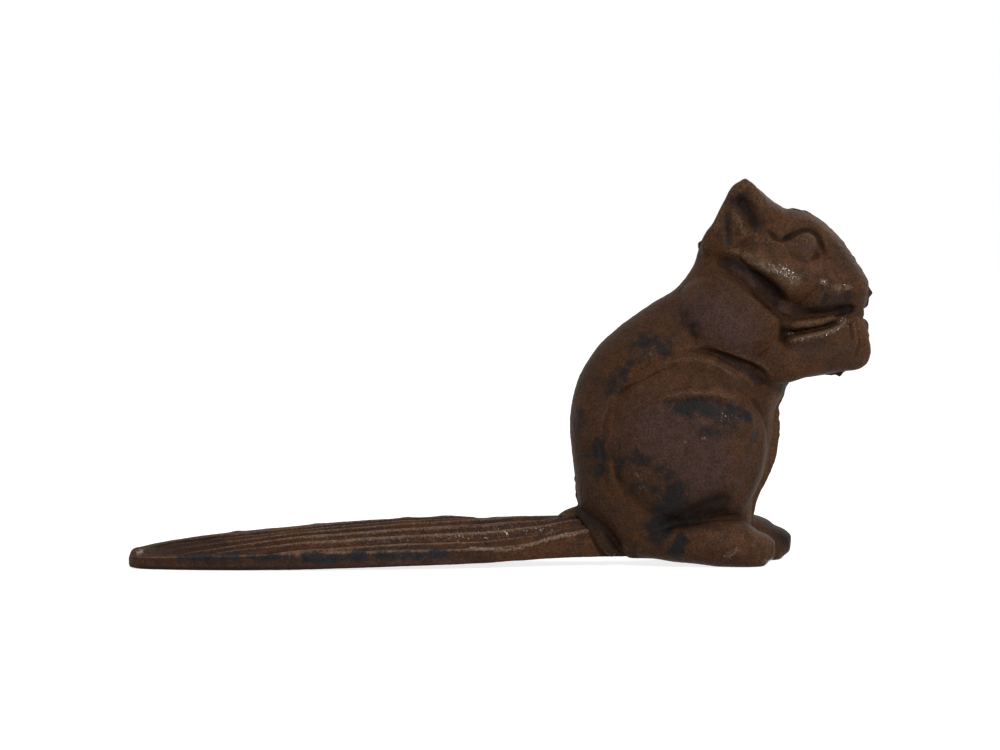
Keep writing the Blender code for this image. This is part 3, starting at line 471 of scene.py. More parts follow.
def sculpt(mesh, half):
    # presses every stroke into the skin, along its normals
    places, normals = placesAndNormals(mesh)
    flat = places[:, [0, 2]]
    facesOut = np.clip(normals[:, 1] * np.sign(places[:, 1]) * strokeShape["sideGain"], 0, 1)
    height = np.zeros(len(places))
    for kind, width, depth, points in strokes:
        path = np.array(points)
        reach = strokeShape["reachWidths"] * width
        low, high = path.min(axis=0) - reach, path.max(axis=0) + reach
        near = np.nonzero(((flat > low) & (flat < high)).all(axis=1))[0]
        signed, share = strokeField(flat[near], path)
        if kind == "step":
            shape = strokeShape["stepGain"] * signed / width * np.exp(-0.5 * (signed / width) ** 2)
        else:
            shape = bell(signed, width) if kind == "ridge" else -bell(signed, width)
        height[near] += depth * shape * fadedEnds(share, strokeShape["fade"]) * facesOut[near]
    if half == right:
        height += seamEdge["lip"] * bell(-places[:, 1] - seamEdge["lipFromJoint"], seamEdge["lipReach"])
        height -= seamEdge["fall"] * bell(places[:, 1], seamEdge["fallReach"])
    places += normals * height[:, None]
    setPlaces(mesh, places)


def roughen(mesh, wave, grain):
    # the sand mould's skin: slow waves and a fine grain of two octaves, both along the normals
    places, normals = placesAndNormals(mesh)
    waveMm, grainMm = figureFinish["waveMm"], figureFinish["grainMm"]
    rise = np.empty(len(places))
    for i, place in enumerate(places):
        point = Vector(place)
        rise[i] = wave * noise.noise(point / waveMm) + grain * noise.fractal(point / grainMm, 1.0, 2.0, 2)
    places += normals * rise[:, None]
    setPlaces(mesh, places)


def squirrel(half):
    # the whole animal as one half's mould has it
    forms = [trunkForm(half), *[slabForm(web) for web in webs.values()]]
    for side in (right, left):
        forms += [massForm(shape, side) for shape in masses.values()]
        forms.append(slabForm(ear, side, figureFinish["earSides"]))
        for name, limb in limbs.items():
            lead = leftFootLead if name == "foot" and side == left else 0.0
            forms.append(limbForm(limb, side, lead))
    softening = figureFinish["softening"]
    whole = worked(
        gathered(forms),
        ("REMESH", {"mode": "VOXEL", "voxel_size": figureFinish["voxel"]}),
        ("SMOOTH", {"factor": softening, "iterations": figureFinish["softenPasses"]}),
    )
    keptSide(whole, (0, -half * figureFinish["beyondJoint"], 0), (0, half, 0))
    mesh = meshOf(whole, "figure")
    sculpt(mesh, half)
    soften = ("SMOOTH", {"factor": softening, "iterations": figureFinish["strokeSoftenPasses"]})
    mesh = meshOf(worked(formOf(mesh), soften), "figure")
    roughen(mesh, figureFinish["castWave"], figureFinish["castGrain"])
    form = formOf(mesh)
    print("squirrel modelled,", len(form.verts), "points")
    return keptSide(form, (0, 0, 0), (0, 0, 1))


jointGap = 0.02    # the filed faces meet, so that no light comes through between the halves
# ragged iron squeezed out between the moulds
flash = {
    # where it stands out most: a place on the joint, the length it covers and its height
    "patches": [
        ((97, 112), 5, 0.7), ((107.5, 105), 9, 0.45), ((114, 96), 6, 0.5),
        ((117.5, 81), 3.5, 1), ((117.4, 74.4), 3.5, 0.7), ((107.6, 61), 4, 0.6), ((94.5, 57.5), 3.5, 1.1),
        ((90, 44), 6, 0.6), ((24, 24), 5, 0.9),
    ],
    # sharp points above it: a place, half the length of its foot and its height
    "spikes": [
        ((117.8, 85.6), 2.6, 1.8), ((99.8, 111), 1.6, 0.6), ((65.2, 101.6), 2.4, 1.4),
        ((108.5, 60.6), 2.2, 1.9), ((24, 27), 1.8, 0.7),
    ],
    # its height wavers: how much, over what length, and the slice of the noise that is used
    "wavers": [(0.9, 3.7, 3.1), (0.7, 1.6, 9.4)],
    "evenShare": 0.75, "waverShare": 1.3, "leastShare": 0.15,
    "least": 0.18, "leastShown": 0.05, "floorZ": 4.0,
    # its section: how thick, how wide its tip and how high its far edge as shares, and how deep its root
    "thickness": 0.8, "tip": 0.25, "farEdge": 0.3, "root": 1.0, "offFace": 0.02,
    "pitch": 0.5, "softenPasses": 2, "voxel": 0.24,
}


def jointOutline(form):
    # the longest closed line where the joint plane meets the figure, started at its lowest point
    section = form.copy()
    cutEdges = set(cutByPlane(section, (0, 0, 0), (0, 1, 0)))
    loops = []
    while cutEdges:
        first = min(cutEdges, key=lambda edge: edge.index)
        loop = [first.verts[0], first.verts[1]]
        cutEdges.remove(first)
        while True:
            onward = [edge for edge in loop[-1].link_edges if edge in cutEdges]
            if not onward:
                break
            cutEdges.remove(onward[0])
            loop.append(onward[0].other_vert(loop[-1]))
        loops.append(np.array([(vertex.co.x, vertex.co.z) for vertex in loop]))
    section.free()
    longest = max(loops, key=lambda loop: np.linalg.norm(np.diff(loop, axis=0), axis=1).sum())
    turned = np.roll(longest[:-1], -np.argmin(longest[:-1, 1]), axis=0)
    return np.vstack([turned, turned[:1]])


def flashFin(form):
    # a thin ragged strip all round the joint, low between the patches, which stops where the squirrel stands
    outline = jointOutline(form)
    run = np.concatenate([[0], np.cumsum(np.linalg.norm(np.diff(outline, axis=0), axis=1))])
    places = np.arange(0, run[-1], flash["pitch"])
    points = np.stack([np.interp(places, run, outline[:, axis]) for axis in (0, 1)], axis=1)
    for _ in range(flash["softenPasses"]):
        points = (np.roll(points, 1, axis=0) + points * 2 + np.roll(points, -1, axis=0)) / 4
    along = np.roll(points, -2, axis=0) - np.roll(points, 2, axis=0)
    along /= np.linalg.norm(along, axis=1)[:, None]
    area = np.sum(points[:, 0] * np.roll(points[:, 1], -1) - np.roll(points[:, 0], -1) * points[:, 1])
    outward = np.stack([along[:, 1], -along[:, 0]], axis=1) * math.copysign(1, area)
    nearY = jointGap / 2 + flash["offFace"]
    farY = nearY + flash["thickness"]
    tipY = nearY + flash["tip"] * flash["thickness"]
    foot = -flash["root"]
    runs = [[]]
    for (x, z), (outX, outZ) in zip(points, outward):
        rise = flash["least"]
        for (patchX, patchZ), reach, height in flash["patches"]:
            rise = max(rise, height * math.exp(-((math.hypot(x - patchX, z - patchZ) / reach) ** 4)))
        ragged = sum(much * noise.noise((x / size, part, z / size)) for much, size, part in flash["wavers"])
        rise *= max(flash["leastShare"], flash["evenShare"] + flash["waverShare"] * ragged)
        for (spikeX, spikeZ), reach, height in flash["spikes"]:
            rise = max(rise, height * (1 - math.hypot(x - spikeX, z - spikeZ) / reach))
        if z > flash["floorZ"] and rise > flash["leastShown"]:
            far = (farY, flash["farEdge"] * rise)
            corners = ((nearY, foot), (nearY, rise), (tipY, rise), far, (farY, foot))
            runs[-1].append([Vector((x + outX * out, y, z + outZ * out)) for y, out in corners])
        else:
            runs.append([])
    strips = [loft(rings) for rings in runs if len(rings) > 1]
    return worked(gathered(strips), ("REMESH", {"mode": "VOXEL", "voxel_size": flash["voxel"]}))


tail = {
    # each station is a distance along X, then the half width, underside, edge height and ridge height
    "stations": [
        (-121.2, 2.4, 1, 3, 3.8), (-120, 5.2, 0.3, 3.6, 5.8), (-116.4, 8.2, 0, 3.7, 6.7),
        (-110, 11.2, 0, 3.8, 8), (-96, 14.6, 0, 4.1, 10), (-78, 16.9, 0, 4.6, 11.7),
        (-58, 18, 0.3, 5.2, 13.3), (-30, 17.6, 1, 5.6, 14.7), (-8, 15.6, 1.5, 5.8, 15.1),
        (10, 12.8, 2.3, 7.2, 15.2), (22, 10.6, 2.7, 10.2, 15.6), (33, 9.4, 2.8, 12.2, 15.8),
        (41, 8.8, 2.8, 12.8, 15.4),
    ],
    "crownPower": 1.7,
    "steps": 24, "underSplits": 14, "edgeSplits": 6, "topSplits": 120,
    # the lug on its root, and the pocket for both in the two halves, which is open below
    "lug": ((40.0, -11.0, 6.0), (48.0, 11.0, 19.0)),
    "fit": 0.35, "pocketX": (8.0, 42.0), "pocketFloor": -2.0, "pocketSteps": 4, "pocketSides": 24,
    # hair grooves on each half of the top, as distances along X and out from the middle
    "grooves": [
        [(-8, 1), (-42, 2.8), (-68, 5), (-90, 5.4), (-114, 4.6)],
        [(16, 2.2), (-11, 5.6), (-42, 8.2), (-68, 9.6), (-84, 10.6), (-108, 10.8)],
        [(34, 3), (12, 6.2), (-11, 9.4), (-42, 11.6), (-68, 12.4), (-98, 12.8)],
        [(34, 5.8), (16, 8.4), (-11, 12.4), (-42, 14.6), (-78, 15.8)],
    ],
    "grooveWidth": 0.62, "grooveDepth": 1.3, "grooveFade": 0.12,
    # the lip on each side of a groove: its height as a share of the depth, its distance and its half width
    "lip": (0.3, 1.4, 0.6),
    # how far the grooves stray, and over what lengths along and across the tail
    "stray": 0.25, "strayMm": (9, 30),
    # lumps and one hollow: a place along and across the tail and the height
    "burrs": [(-86, 0, 0.35), (-31, 0.4, 0.3), (-6, 0, -0.8), (-92, -6, 0.3), (-60, 5, 0.3)],
    "burrReach": (2.0, 2.5),
    "topGain": 1.5, "castWave": 0.12, "castGrain": 0.05,
}


def crowned(share):
    return 1 - abs(share) ** tail["crownPower"]


def pocketSection(row):
    # one section of the pocket: open downward, with upright sides and a crowned top
    x, width, _, edge, ridge = row
    width += tail["fit"]
    floor = tail["pocketFloor"]
    ring = [Vector((x, -width, edge)), Vector((x, -width, floor)), Vector((x, width, floor))]
    for share in np.linspace(1, -1, tail["pocketSides"] + 1)[:-1]:
        ring.append(Vector((x, width * share, edge + tail["fit"] + (ridge - edge) * crowned(share))))
    return ring


def tailPocket():
    startX, endX = tail["pocketX"]
    rows = [row for row in smoothCurve(tail["stations"], tail["pocketSteps"]) if row[0] > startX]
    rows[-1][0] = endX
    low, high = [Vector(corner) for corner in tail["lug"]]
    gap = Vector((tail["fit"],) * 3)
    return cutOrJoined(loft([pocketSection(row) for row in rows]), block(low - gap, high + gap), "UNION")


def ribbedTail():
    # sections fine enough to hold the grooves, with the underside and the edges split as finely as the top
    under = np.linspace(-1, 1, tail["underSplits"] + 1)[:-1]
    upEdge = np.linspace(0, 1, tail["edgeSplits"] + 1)[:-1]
    across = np.linspace(1, -1, tail["topSplits"] + 1)
    downEdge = np.linspace(1, 0, tail["edgeSplits"] + 1)[1:-1]
    rings = []
    for x, width, low, edge, ridge in smoothCurve(tail["stations"], tail["steps"]):
        ring = [(x, width * share, low) for share in under]
        ring += [(x, width, low + (edge - low) * share) for share in upEdge]
        ring += [(x, width * share, edge + (ridge - edge) * crowned(share)) for share in across]
        ring += [(x, -width, low + (edge - low) * share) for share in downEdge]
        rings.append([Vector(point) for point in ring])
    mesh = meshOf(loft(rings), "tail")
    places, normals = placesAndNormals(mesh)
    facesUp = np.clip(normals[:, 2] * tail["topGain"], 0, 1)
    alongMm, acrossMm = tail["strayMm"]
    wobble = np.array([noise.noise((x / alongMm, y / acrossMm, 0)) for x, y in places[:, :2]]) * tail["stray"]
    lipShare, lipOff, lipWidth = tail["lip"]
    for path in tail["grooves"]:
        for side in (right, left):
            flat = np.stack([places[:, 0], places[:, 1] * side + wobble], axis=1)
            signed, share = strokeField(flat, np.array(path))
            lip = lipShare * bell(np.abs(signed) - lipOff, lipWidth)
            depth = tail["grooveDepth"] * (lip - bell(signed, tail["grooveWidth"]))
            places[:, 2] += depth * fadedEnds(share, tail["grooveFade"]) * facesUp
    reachX, reachY = tail["burrReach"]
    for x, y, rise in tail["burrs"]:
        away = ((places[:, 0] - x) / reachX) ** 2 + ((places[:, 1] - y) / reachY) ** 2
        places[:, 2] += rise * np.exp(-away) * facesUp
    setPlaces(mesh, places)
    roughen(mesh, tail["castWave"], tail["castGrain"])
    form = formOf(mesh)
    for vertex in form.verts:
        vertex.co.z = max(vertex.co.z, 0.0)
    made = cutOrJoined(form, block(*tail["lug"]), "UNION")
    print("tail ribbed,", len(made.verts), "points")
    return made


screw = {
    "z": 47.0, "radius": 2.5, "headRadius": 4.7, "headHeight": 2.9, "topY": 22.3, "endY": -13.5,
    "tipBevel": 0.6, "rimDepth": 0.3, "rimBevel": 0.1, "faceBevel": 0.35, "turns": 72,
    "slotWidth": 1.2, "slotDepth": 1.3, "slotTurn": 35.0, "slotReach": 6,
    "tappedRadius": 2.75, "tappedEndY": -15.5, "clearance": 2.9, "seatGap": 0.3,
    "overlap": 1, "seatOverlap": 0.001, "outsideY": 30, "holeSides": 64,
}


def screwRod(radius, startY, endY, endRadius=None):
    # a rod or a cone along the screw's axis
    rings = []
    for y, reach in ((startY, radius), (endY, radius if endRadius is None else endRadius)):
        rings.append([
            Vector((screwX + reach * math.cos(turn), y, screw["z"] + reach * math.sin(turn)))
            for turn in turnsRound(screw["holeSides"])
        ])
    return loft(rings)


def rightCasting(figure):
    half = keptSide(figure, (0, -jointGap / 2, 0), (0, -1, 0))
    half = cutOrJoined(half, tailPocket(), "DIFFERENCE")
    thread = screwRod(screw["tappedRadius"], screw["tappedEndY"], screw["overlap"])
    return cutOrJoined(half, thread, "DIFFERENCE")


def leftCasting(figure):
    fin = flashFin(figure)
    half = keptSide(figure, (0, jointGap / 2, 0), (0, 1, 0))
    half = cutOrJoined(half, fin, "UNION")
    seatY = screw["topY"] - screw["headHeight"]
    seatRadius = screw["headRadius"] + screw["seatGap"]
    for tool in (
        tailPocket(),
        screwRod(screw["clearance"], -screw["overlap"], seatY + screw["overlap"]),
        screwRod(screw["clearance"], seatY, screw["topY"], seatRadius),
        screwRod(seatRadius, screw["topY"] - screw["seatOverlap"], screw["outsideY"]),
    ):
        half = cutOrJoined(half, tool, "DIFFERENCE")
    return half


def slottedScrew():
    topY, endY, z = screw["topY"], screw["endY"], screw["z"]
    radius, headRadius, bevel = screw["radius"], screw["headRadius"], screw["tipBevel"]
    profile = [
        (0.0, endY), (radius - bevel, endY), (radius, endY + bevel), (radius, topY - screw["headHeight"]),
        (headRadius, topY - screw["rimDepth"]), (headRadius - screw["rimBevel"], topY - screw["rimBevel"]),
        (headRadius - screw["faceBevel"], topY), (0.0, topY),
    ]
    form = bmesh.new()
    line = [form.verts.new((screwX + out, y, z)) for out, y in profile]
    line += [form.edges.new(pair) for pair in zip(line, line[1:])]
    axis = {"cent": (screwX, 0, z), "axis": (0, 1, 0)}
    bmesh.ops.spin(form, geom=line, angle=math.tau, steps=screw["turns"], use_merge=True, **axis)
    bmesh.ops.remove_doubles(form, verts=form.verts, dist=0.0001)
    bmesh.ops.recalc_face_normals(form, faces=form.faces)
    slot = block(
        (screwX - screw["slotReach"], topY - screw["slotDepth"], z - screw["slotWidth"] / 2),
        (screwX + screw["slotReach"], topY + screw["overlap"], z + screw["slotWidth"] / 2),
    )
    turn = Matrix.Rotation(math.radians(screw["slotTurn"]), 3, "Y")
    bmesh.ops.rotate(slot, verts=slot.verts, cent=(screwX, 0, z), matrix=turn)
    return cutOrJoined(form, slot, "DIFFERENCE")


def linear(hexColour):
    # an sRGB hex colour as the linear one that shaders take
    channels = [int(hexColour[i:i + 2], 16) / 255 for i in (1, 3, 5)]
    return (*[c / 12.92 if c <= 0.04045 else ((c + 0.055) / 1.055) ** 2.4 for c in channels], 1.0)


def addNode(tree, kind, settings, inputs):
    # one node with its settings, its values and its links; a node given as a value links its first output
    node = tree.nodes.new("ShaderNode" + kind)
    for name, value in settings.items():
        setattr(node, name, value)
    for name, value in inputs.items():
        if isinstance(value, bpy.types.Node):
            value = next(output for output in value.outputs if output.enabled)
        if isinstance(value, bpy.types.NodeSocket):
            tree.links.new(value, node.inputs[name])
        else:
            node.inputs[name].default_value = value
    return node


def newMaterial(name):
    material = bpy.data.materials.new(name)
    material.use_nodes = True
    material.node_tree.nodes.clear()
    return material, material.node_tree


castFinishAndShading = {
    # ash is dust under a painted cool sheen, soot is a painted shade colour, and crest is partly edge wear
    # and partly a painted highlight
    "brown": "#402c1f", "redBrown": "#4f321f", "dustAndSheenColour": "#45322d", "bared": "#553928", "black": "#1b1a1c",
    "paintedShadeColour": "#1d1410", "crest": "#5c4430",
    # for each coat: the value at which it starts to show, the value at which it shows most, and how much then
    "cover": {
        "redBrown": (0.42, 0.72, 1.0), "dustAndSheenColour": (0.1, 0.9, 0.9), "bared": (0.1, 0.9, 0.9),
        "crest": (0.7, 1.4, 0.7), "paintedShadeColour": (0.5, 1.3, 0.9), "black": (0.62, 1.25, 0.92),
    },
    "blotchMm": 12.0, "mottleMm": 3.2, "gritMm": 0.6, "patchMm": 4.0, "lumpMm": 2.2, "glintMm": 0.5,
    "roughness": 0.6, "rubbedRoughness": 0.45, "gloss": 0.08, "waxRoughness": 0.13,
}
# the tail's crest colour lightens its ribs: partly wear, partly a painted highlight
tailFinishAndShading = castFinishAndShading | {"brown": "#39271f", "black": "#222327", "crest": "#7d6350"}


def sandCastIron(name, finishAndShading):
    # Sand-cast grey iron under a rust-brown wash and wax: matt and gritty, redder in the creases, dusty with
    # a painted purple-grey sheen where it is broad and proud, thin and orange on the foot and the chest, dark
    # with painted shade in the deep places, rubbed through to a smoother black in soft patches, and polished
    # by hands along the crests and the filed seam, where its grains glint and a lighter painted highlight
    # colour lies. Moulding sand is finer: its grit and its grains are drawn 0.6 and 0.5 mm coarse, so that
    # they show.
    material, tree = newMaterial(name)
    place = addNode(tree, "TexCoord", {}, {}).outputs["Object"]
    relief, rubbed, dustAndSheen, bared, paintedShade, polishAndHighlight = [
        addNode(tree, "Attribute", {"attribute_name": mark}, {}).outputs["Fac"]
        for mark in ("relief", "rubbed", "dustAndSheen", "bared", "paintedShade", "polishAndHighlight")
    ]
    noises = {}
    for pattern, detail in (("blotch", 3.0), ("mottle", 5.0), ("grit", 2.5), ("patch", 6.0), ("lump", 2.0)):
        noises[pattern] = addNode(tree, "TexNoise", {}, {
            "Vector": place, "Scale": 1 / (finishAndShading[pattern + "Mm"] * mm), "Detail": detail,
            "Roughness": 0.6})
    glint = addNode(tree, "TexVoronoi", {}, {"Vector": place, "Scale": 1 / (finishAndShading["glintMm"] * mm)})

    crease = addNode(tree, "MapRange", {}, {
        "Value": relief, "From Min": 0.1, "From Max": -0.7, "To Max": 0.35})
    crest = addNode(tree, "MapRange", {}, {"Value": relief, "From Min": 0.2, "From Max": 1.6})
    # edge wear and polish, where the crest colour is also a painted highlight
    wearAndHighlight = addNode(tree, "Math", {"operation": "MULTIPLY_ADD"}, {0: polishAndHighlight, 1: 0.6, 2: crest})
    coatMottle = addNode(tree, "Math", {"operation": "MULTIPLY_ADD"}, {0: noises["mottle"], 1: 1.4, 2: -0.7})
    patchNoise = addNode(tree, "Math", {"operation": "MULTIPLY_ADD"}, {0: noises["patch"], 1: 1.9, 2: -0.45})
    # each coat covers what is under it as far as the sum of two values has come
    colour = linear(finishAndShading["brown"])
    for coat, first, second in (
        ("redBrown", noises["blotch"], crease), ("dustAndSheenColour", dustAndSheen, coatMottle), ("bared", bared, coatMottle),
        ("crest", wearAndHighlight, noises["grit"]), ("paintedShadeColour", paintedShade, noises["mottle"]), ("black", rubbed, patchNoise),
    ):
        low, high, most = finishAndShading["cover"][coat]
        both = addNode(tree, "Math", {"operation": "ADD"}, {0: first, 1: second})
        cover = addNode(tree, "MapRange", {"interpolation_type": "SMOOTHSTEP"}, {
            "Value": both, "From Min": low, "From Max": high, "To Max": most})
        colour = addNode(tree, "Mix", {"data_type": "RGBA"}, {
            "Factor": cover, "A": colour, "B": linear(finishAndShading[coat])})
    # the grit and the mottle lighten and darken it a little, and painted shade darkens the creases
    speckle = addNode(tree, "MapRange", {}, {
        "Value": noises["grit"], "From Min": 0.3, "From Max": 0.7, "To Min": 0.55, "To Max": 1.45})
    cloud = addNode(tree, "MapRange", {}, {
        "Value": noises["mottle"], "From Min": 0.3, "From Max": 0.7, "To Min": 0.78, "To Max": 1.22})
    # painted shade: darker the deeper the crease
    creaseShade = addNode(tree, "MapRange", {}, {
        "Value": relief, "From Min": -0.1, "From Max": -0.9, "To Min": 1.0, "To Max": 0.42})
    shade = addNode(tree, "Math", {"operation": "MULTIPLY"}, {0: speckle, 1: cloud})
    shade = addNode(tree, "Math", {"operation": "MULTIPLY"}, {0: shade, 1: creaseShade})
    colour = addNode(tree, "Mix", {"data_type": "RGBA", "blend_type": "MULTIPLY"}, {
        "Factor": 1.0, "A": colour, "B": shade})
    roughness = addNode(tree, "Mix", {"data_type": "FLOAT"}, {
        "Factor": rubbed, "A": finishAndShading["roughness"], "B": finishAndShading["rubbedRoughness"]})
    # wax shines only on some of the grains, the more of them the more they are handled
    handled = addNode(tree, "Math", {"operation": "MULTIPLY_ADD"}, {0: crest, 1: 0.15, 2: polishAndHighlight})
    handled = addNode(tree, "Math", {"operation": "MULTIPLY"}, {0: handled, 1: 0.55})
    waxed = addNode(tree, "Math", {"operation": "ADD"}, {0: handled, 1: glint.outputs["Color"]})
    wax = addNode(tree, "MapRange", {"interpolation_type": "SMOOTHSTEP"}, {
        "Value": waxed, "From Min": 0.96, "From Max": 1.2, "To Max": 1.0})
    height = addNode(tree, "Math", {"operation": "MULTIPLY_ADD"}, {
        0: noises["lump"], 1: 2.0, 2: noises["grit"]})
    bump = addNode(tree, "Bump", {}, {"Height": height, "Strength": 0.9, "Distance": 0.26 * mm})
    grain = addNode(tree, "Bump", {}, {
        "Height": glint.outputs["Distance"], "Strength": 0.8, "Distance": -0.12 * mm})
    shader = addNode(tree, "BsdfPrincipled", {}, {
        "Base Color": colour, "Roughness": roughness, "Normal": bump,
        "Specular IOR Level": finishAndShading["gloss"], "Coat Weight": wax,
        "Coat Roughness": finishAndShading["waxRoughness"], "Coat Normal": grain})
    addNode(tree, "OutputMaterial", {}, {"Surface": shader})
    return material


steelFinish = {"dark": "#3a2c24", "light": "#665648", "mottleMm": 1.6, "roughness": 0.42, "metallic": 0.85}


def brownedSteel():
    # turned steel screw, browned with the castings: dark and faintly metallic, with a fine mottle
    material, tree = newMaterial("turnedSteelBrowned")
    place = addNode(tree, "TexCoord", {}, {}).outputs["Object"]
    mottle = addNode(tree, "TexNoise", {}, {
        "Vector": place, "Scale": 1 / (steelFinish["mottleMm"] * mm), "Detail": 5.0})
    colour = addNode(tree, "Mix", {"data_type": "RGBA"}, {
        "Factor": mottle, "A": linear(steelFinish["dark"]), "B": linear(steelFinish["light"])})
    bump = addNode(tree, "Bump", {}, {"Height": mottle, "Strength": 0.3, "Distance": 0.1 * mm})
    shader = addNode(tree, "BsdfPrincipled", {}, {
        "Base Color": colour, "Roughness": steelFinish["roughness"],
        "Metallic": steelFinish["metallic"], "Normal": bump})
    addNode(tree, "OutputMaterial", {}, {"Surface": shader})
    return material


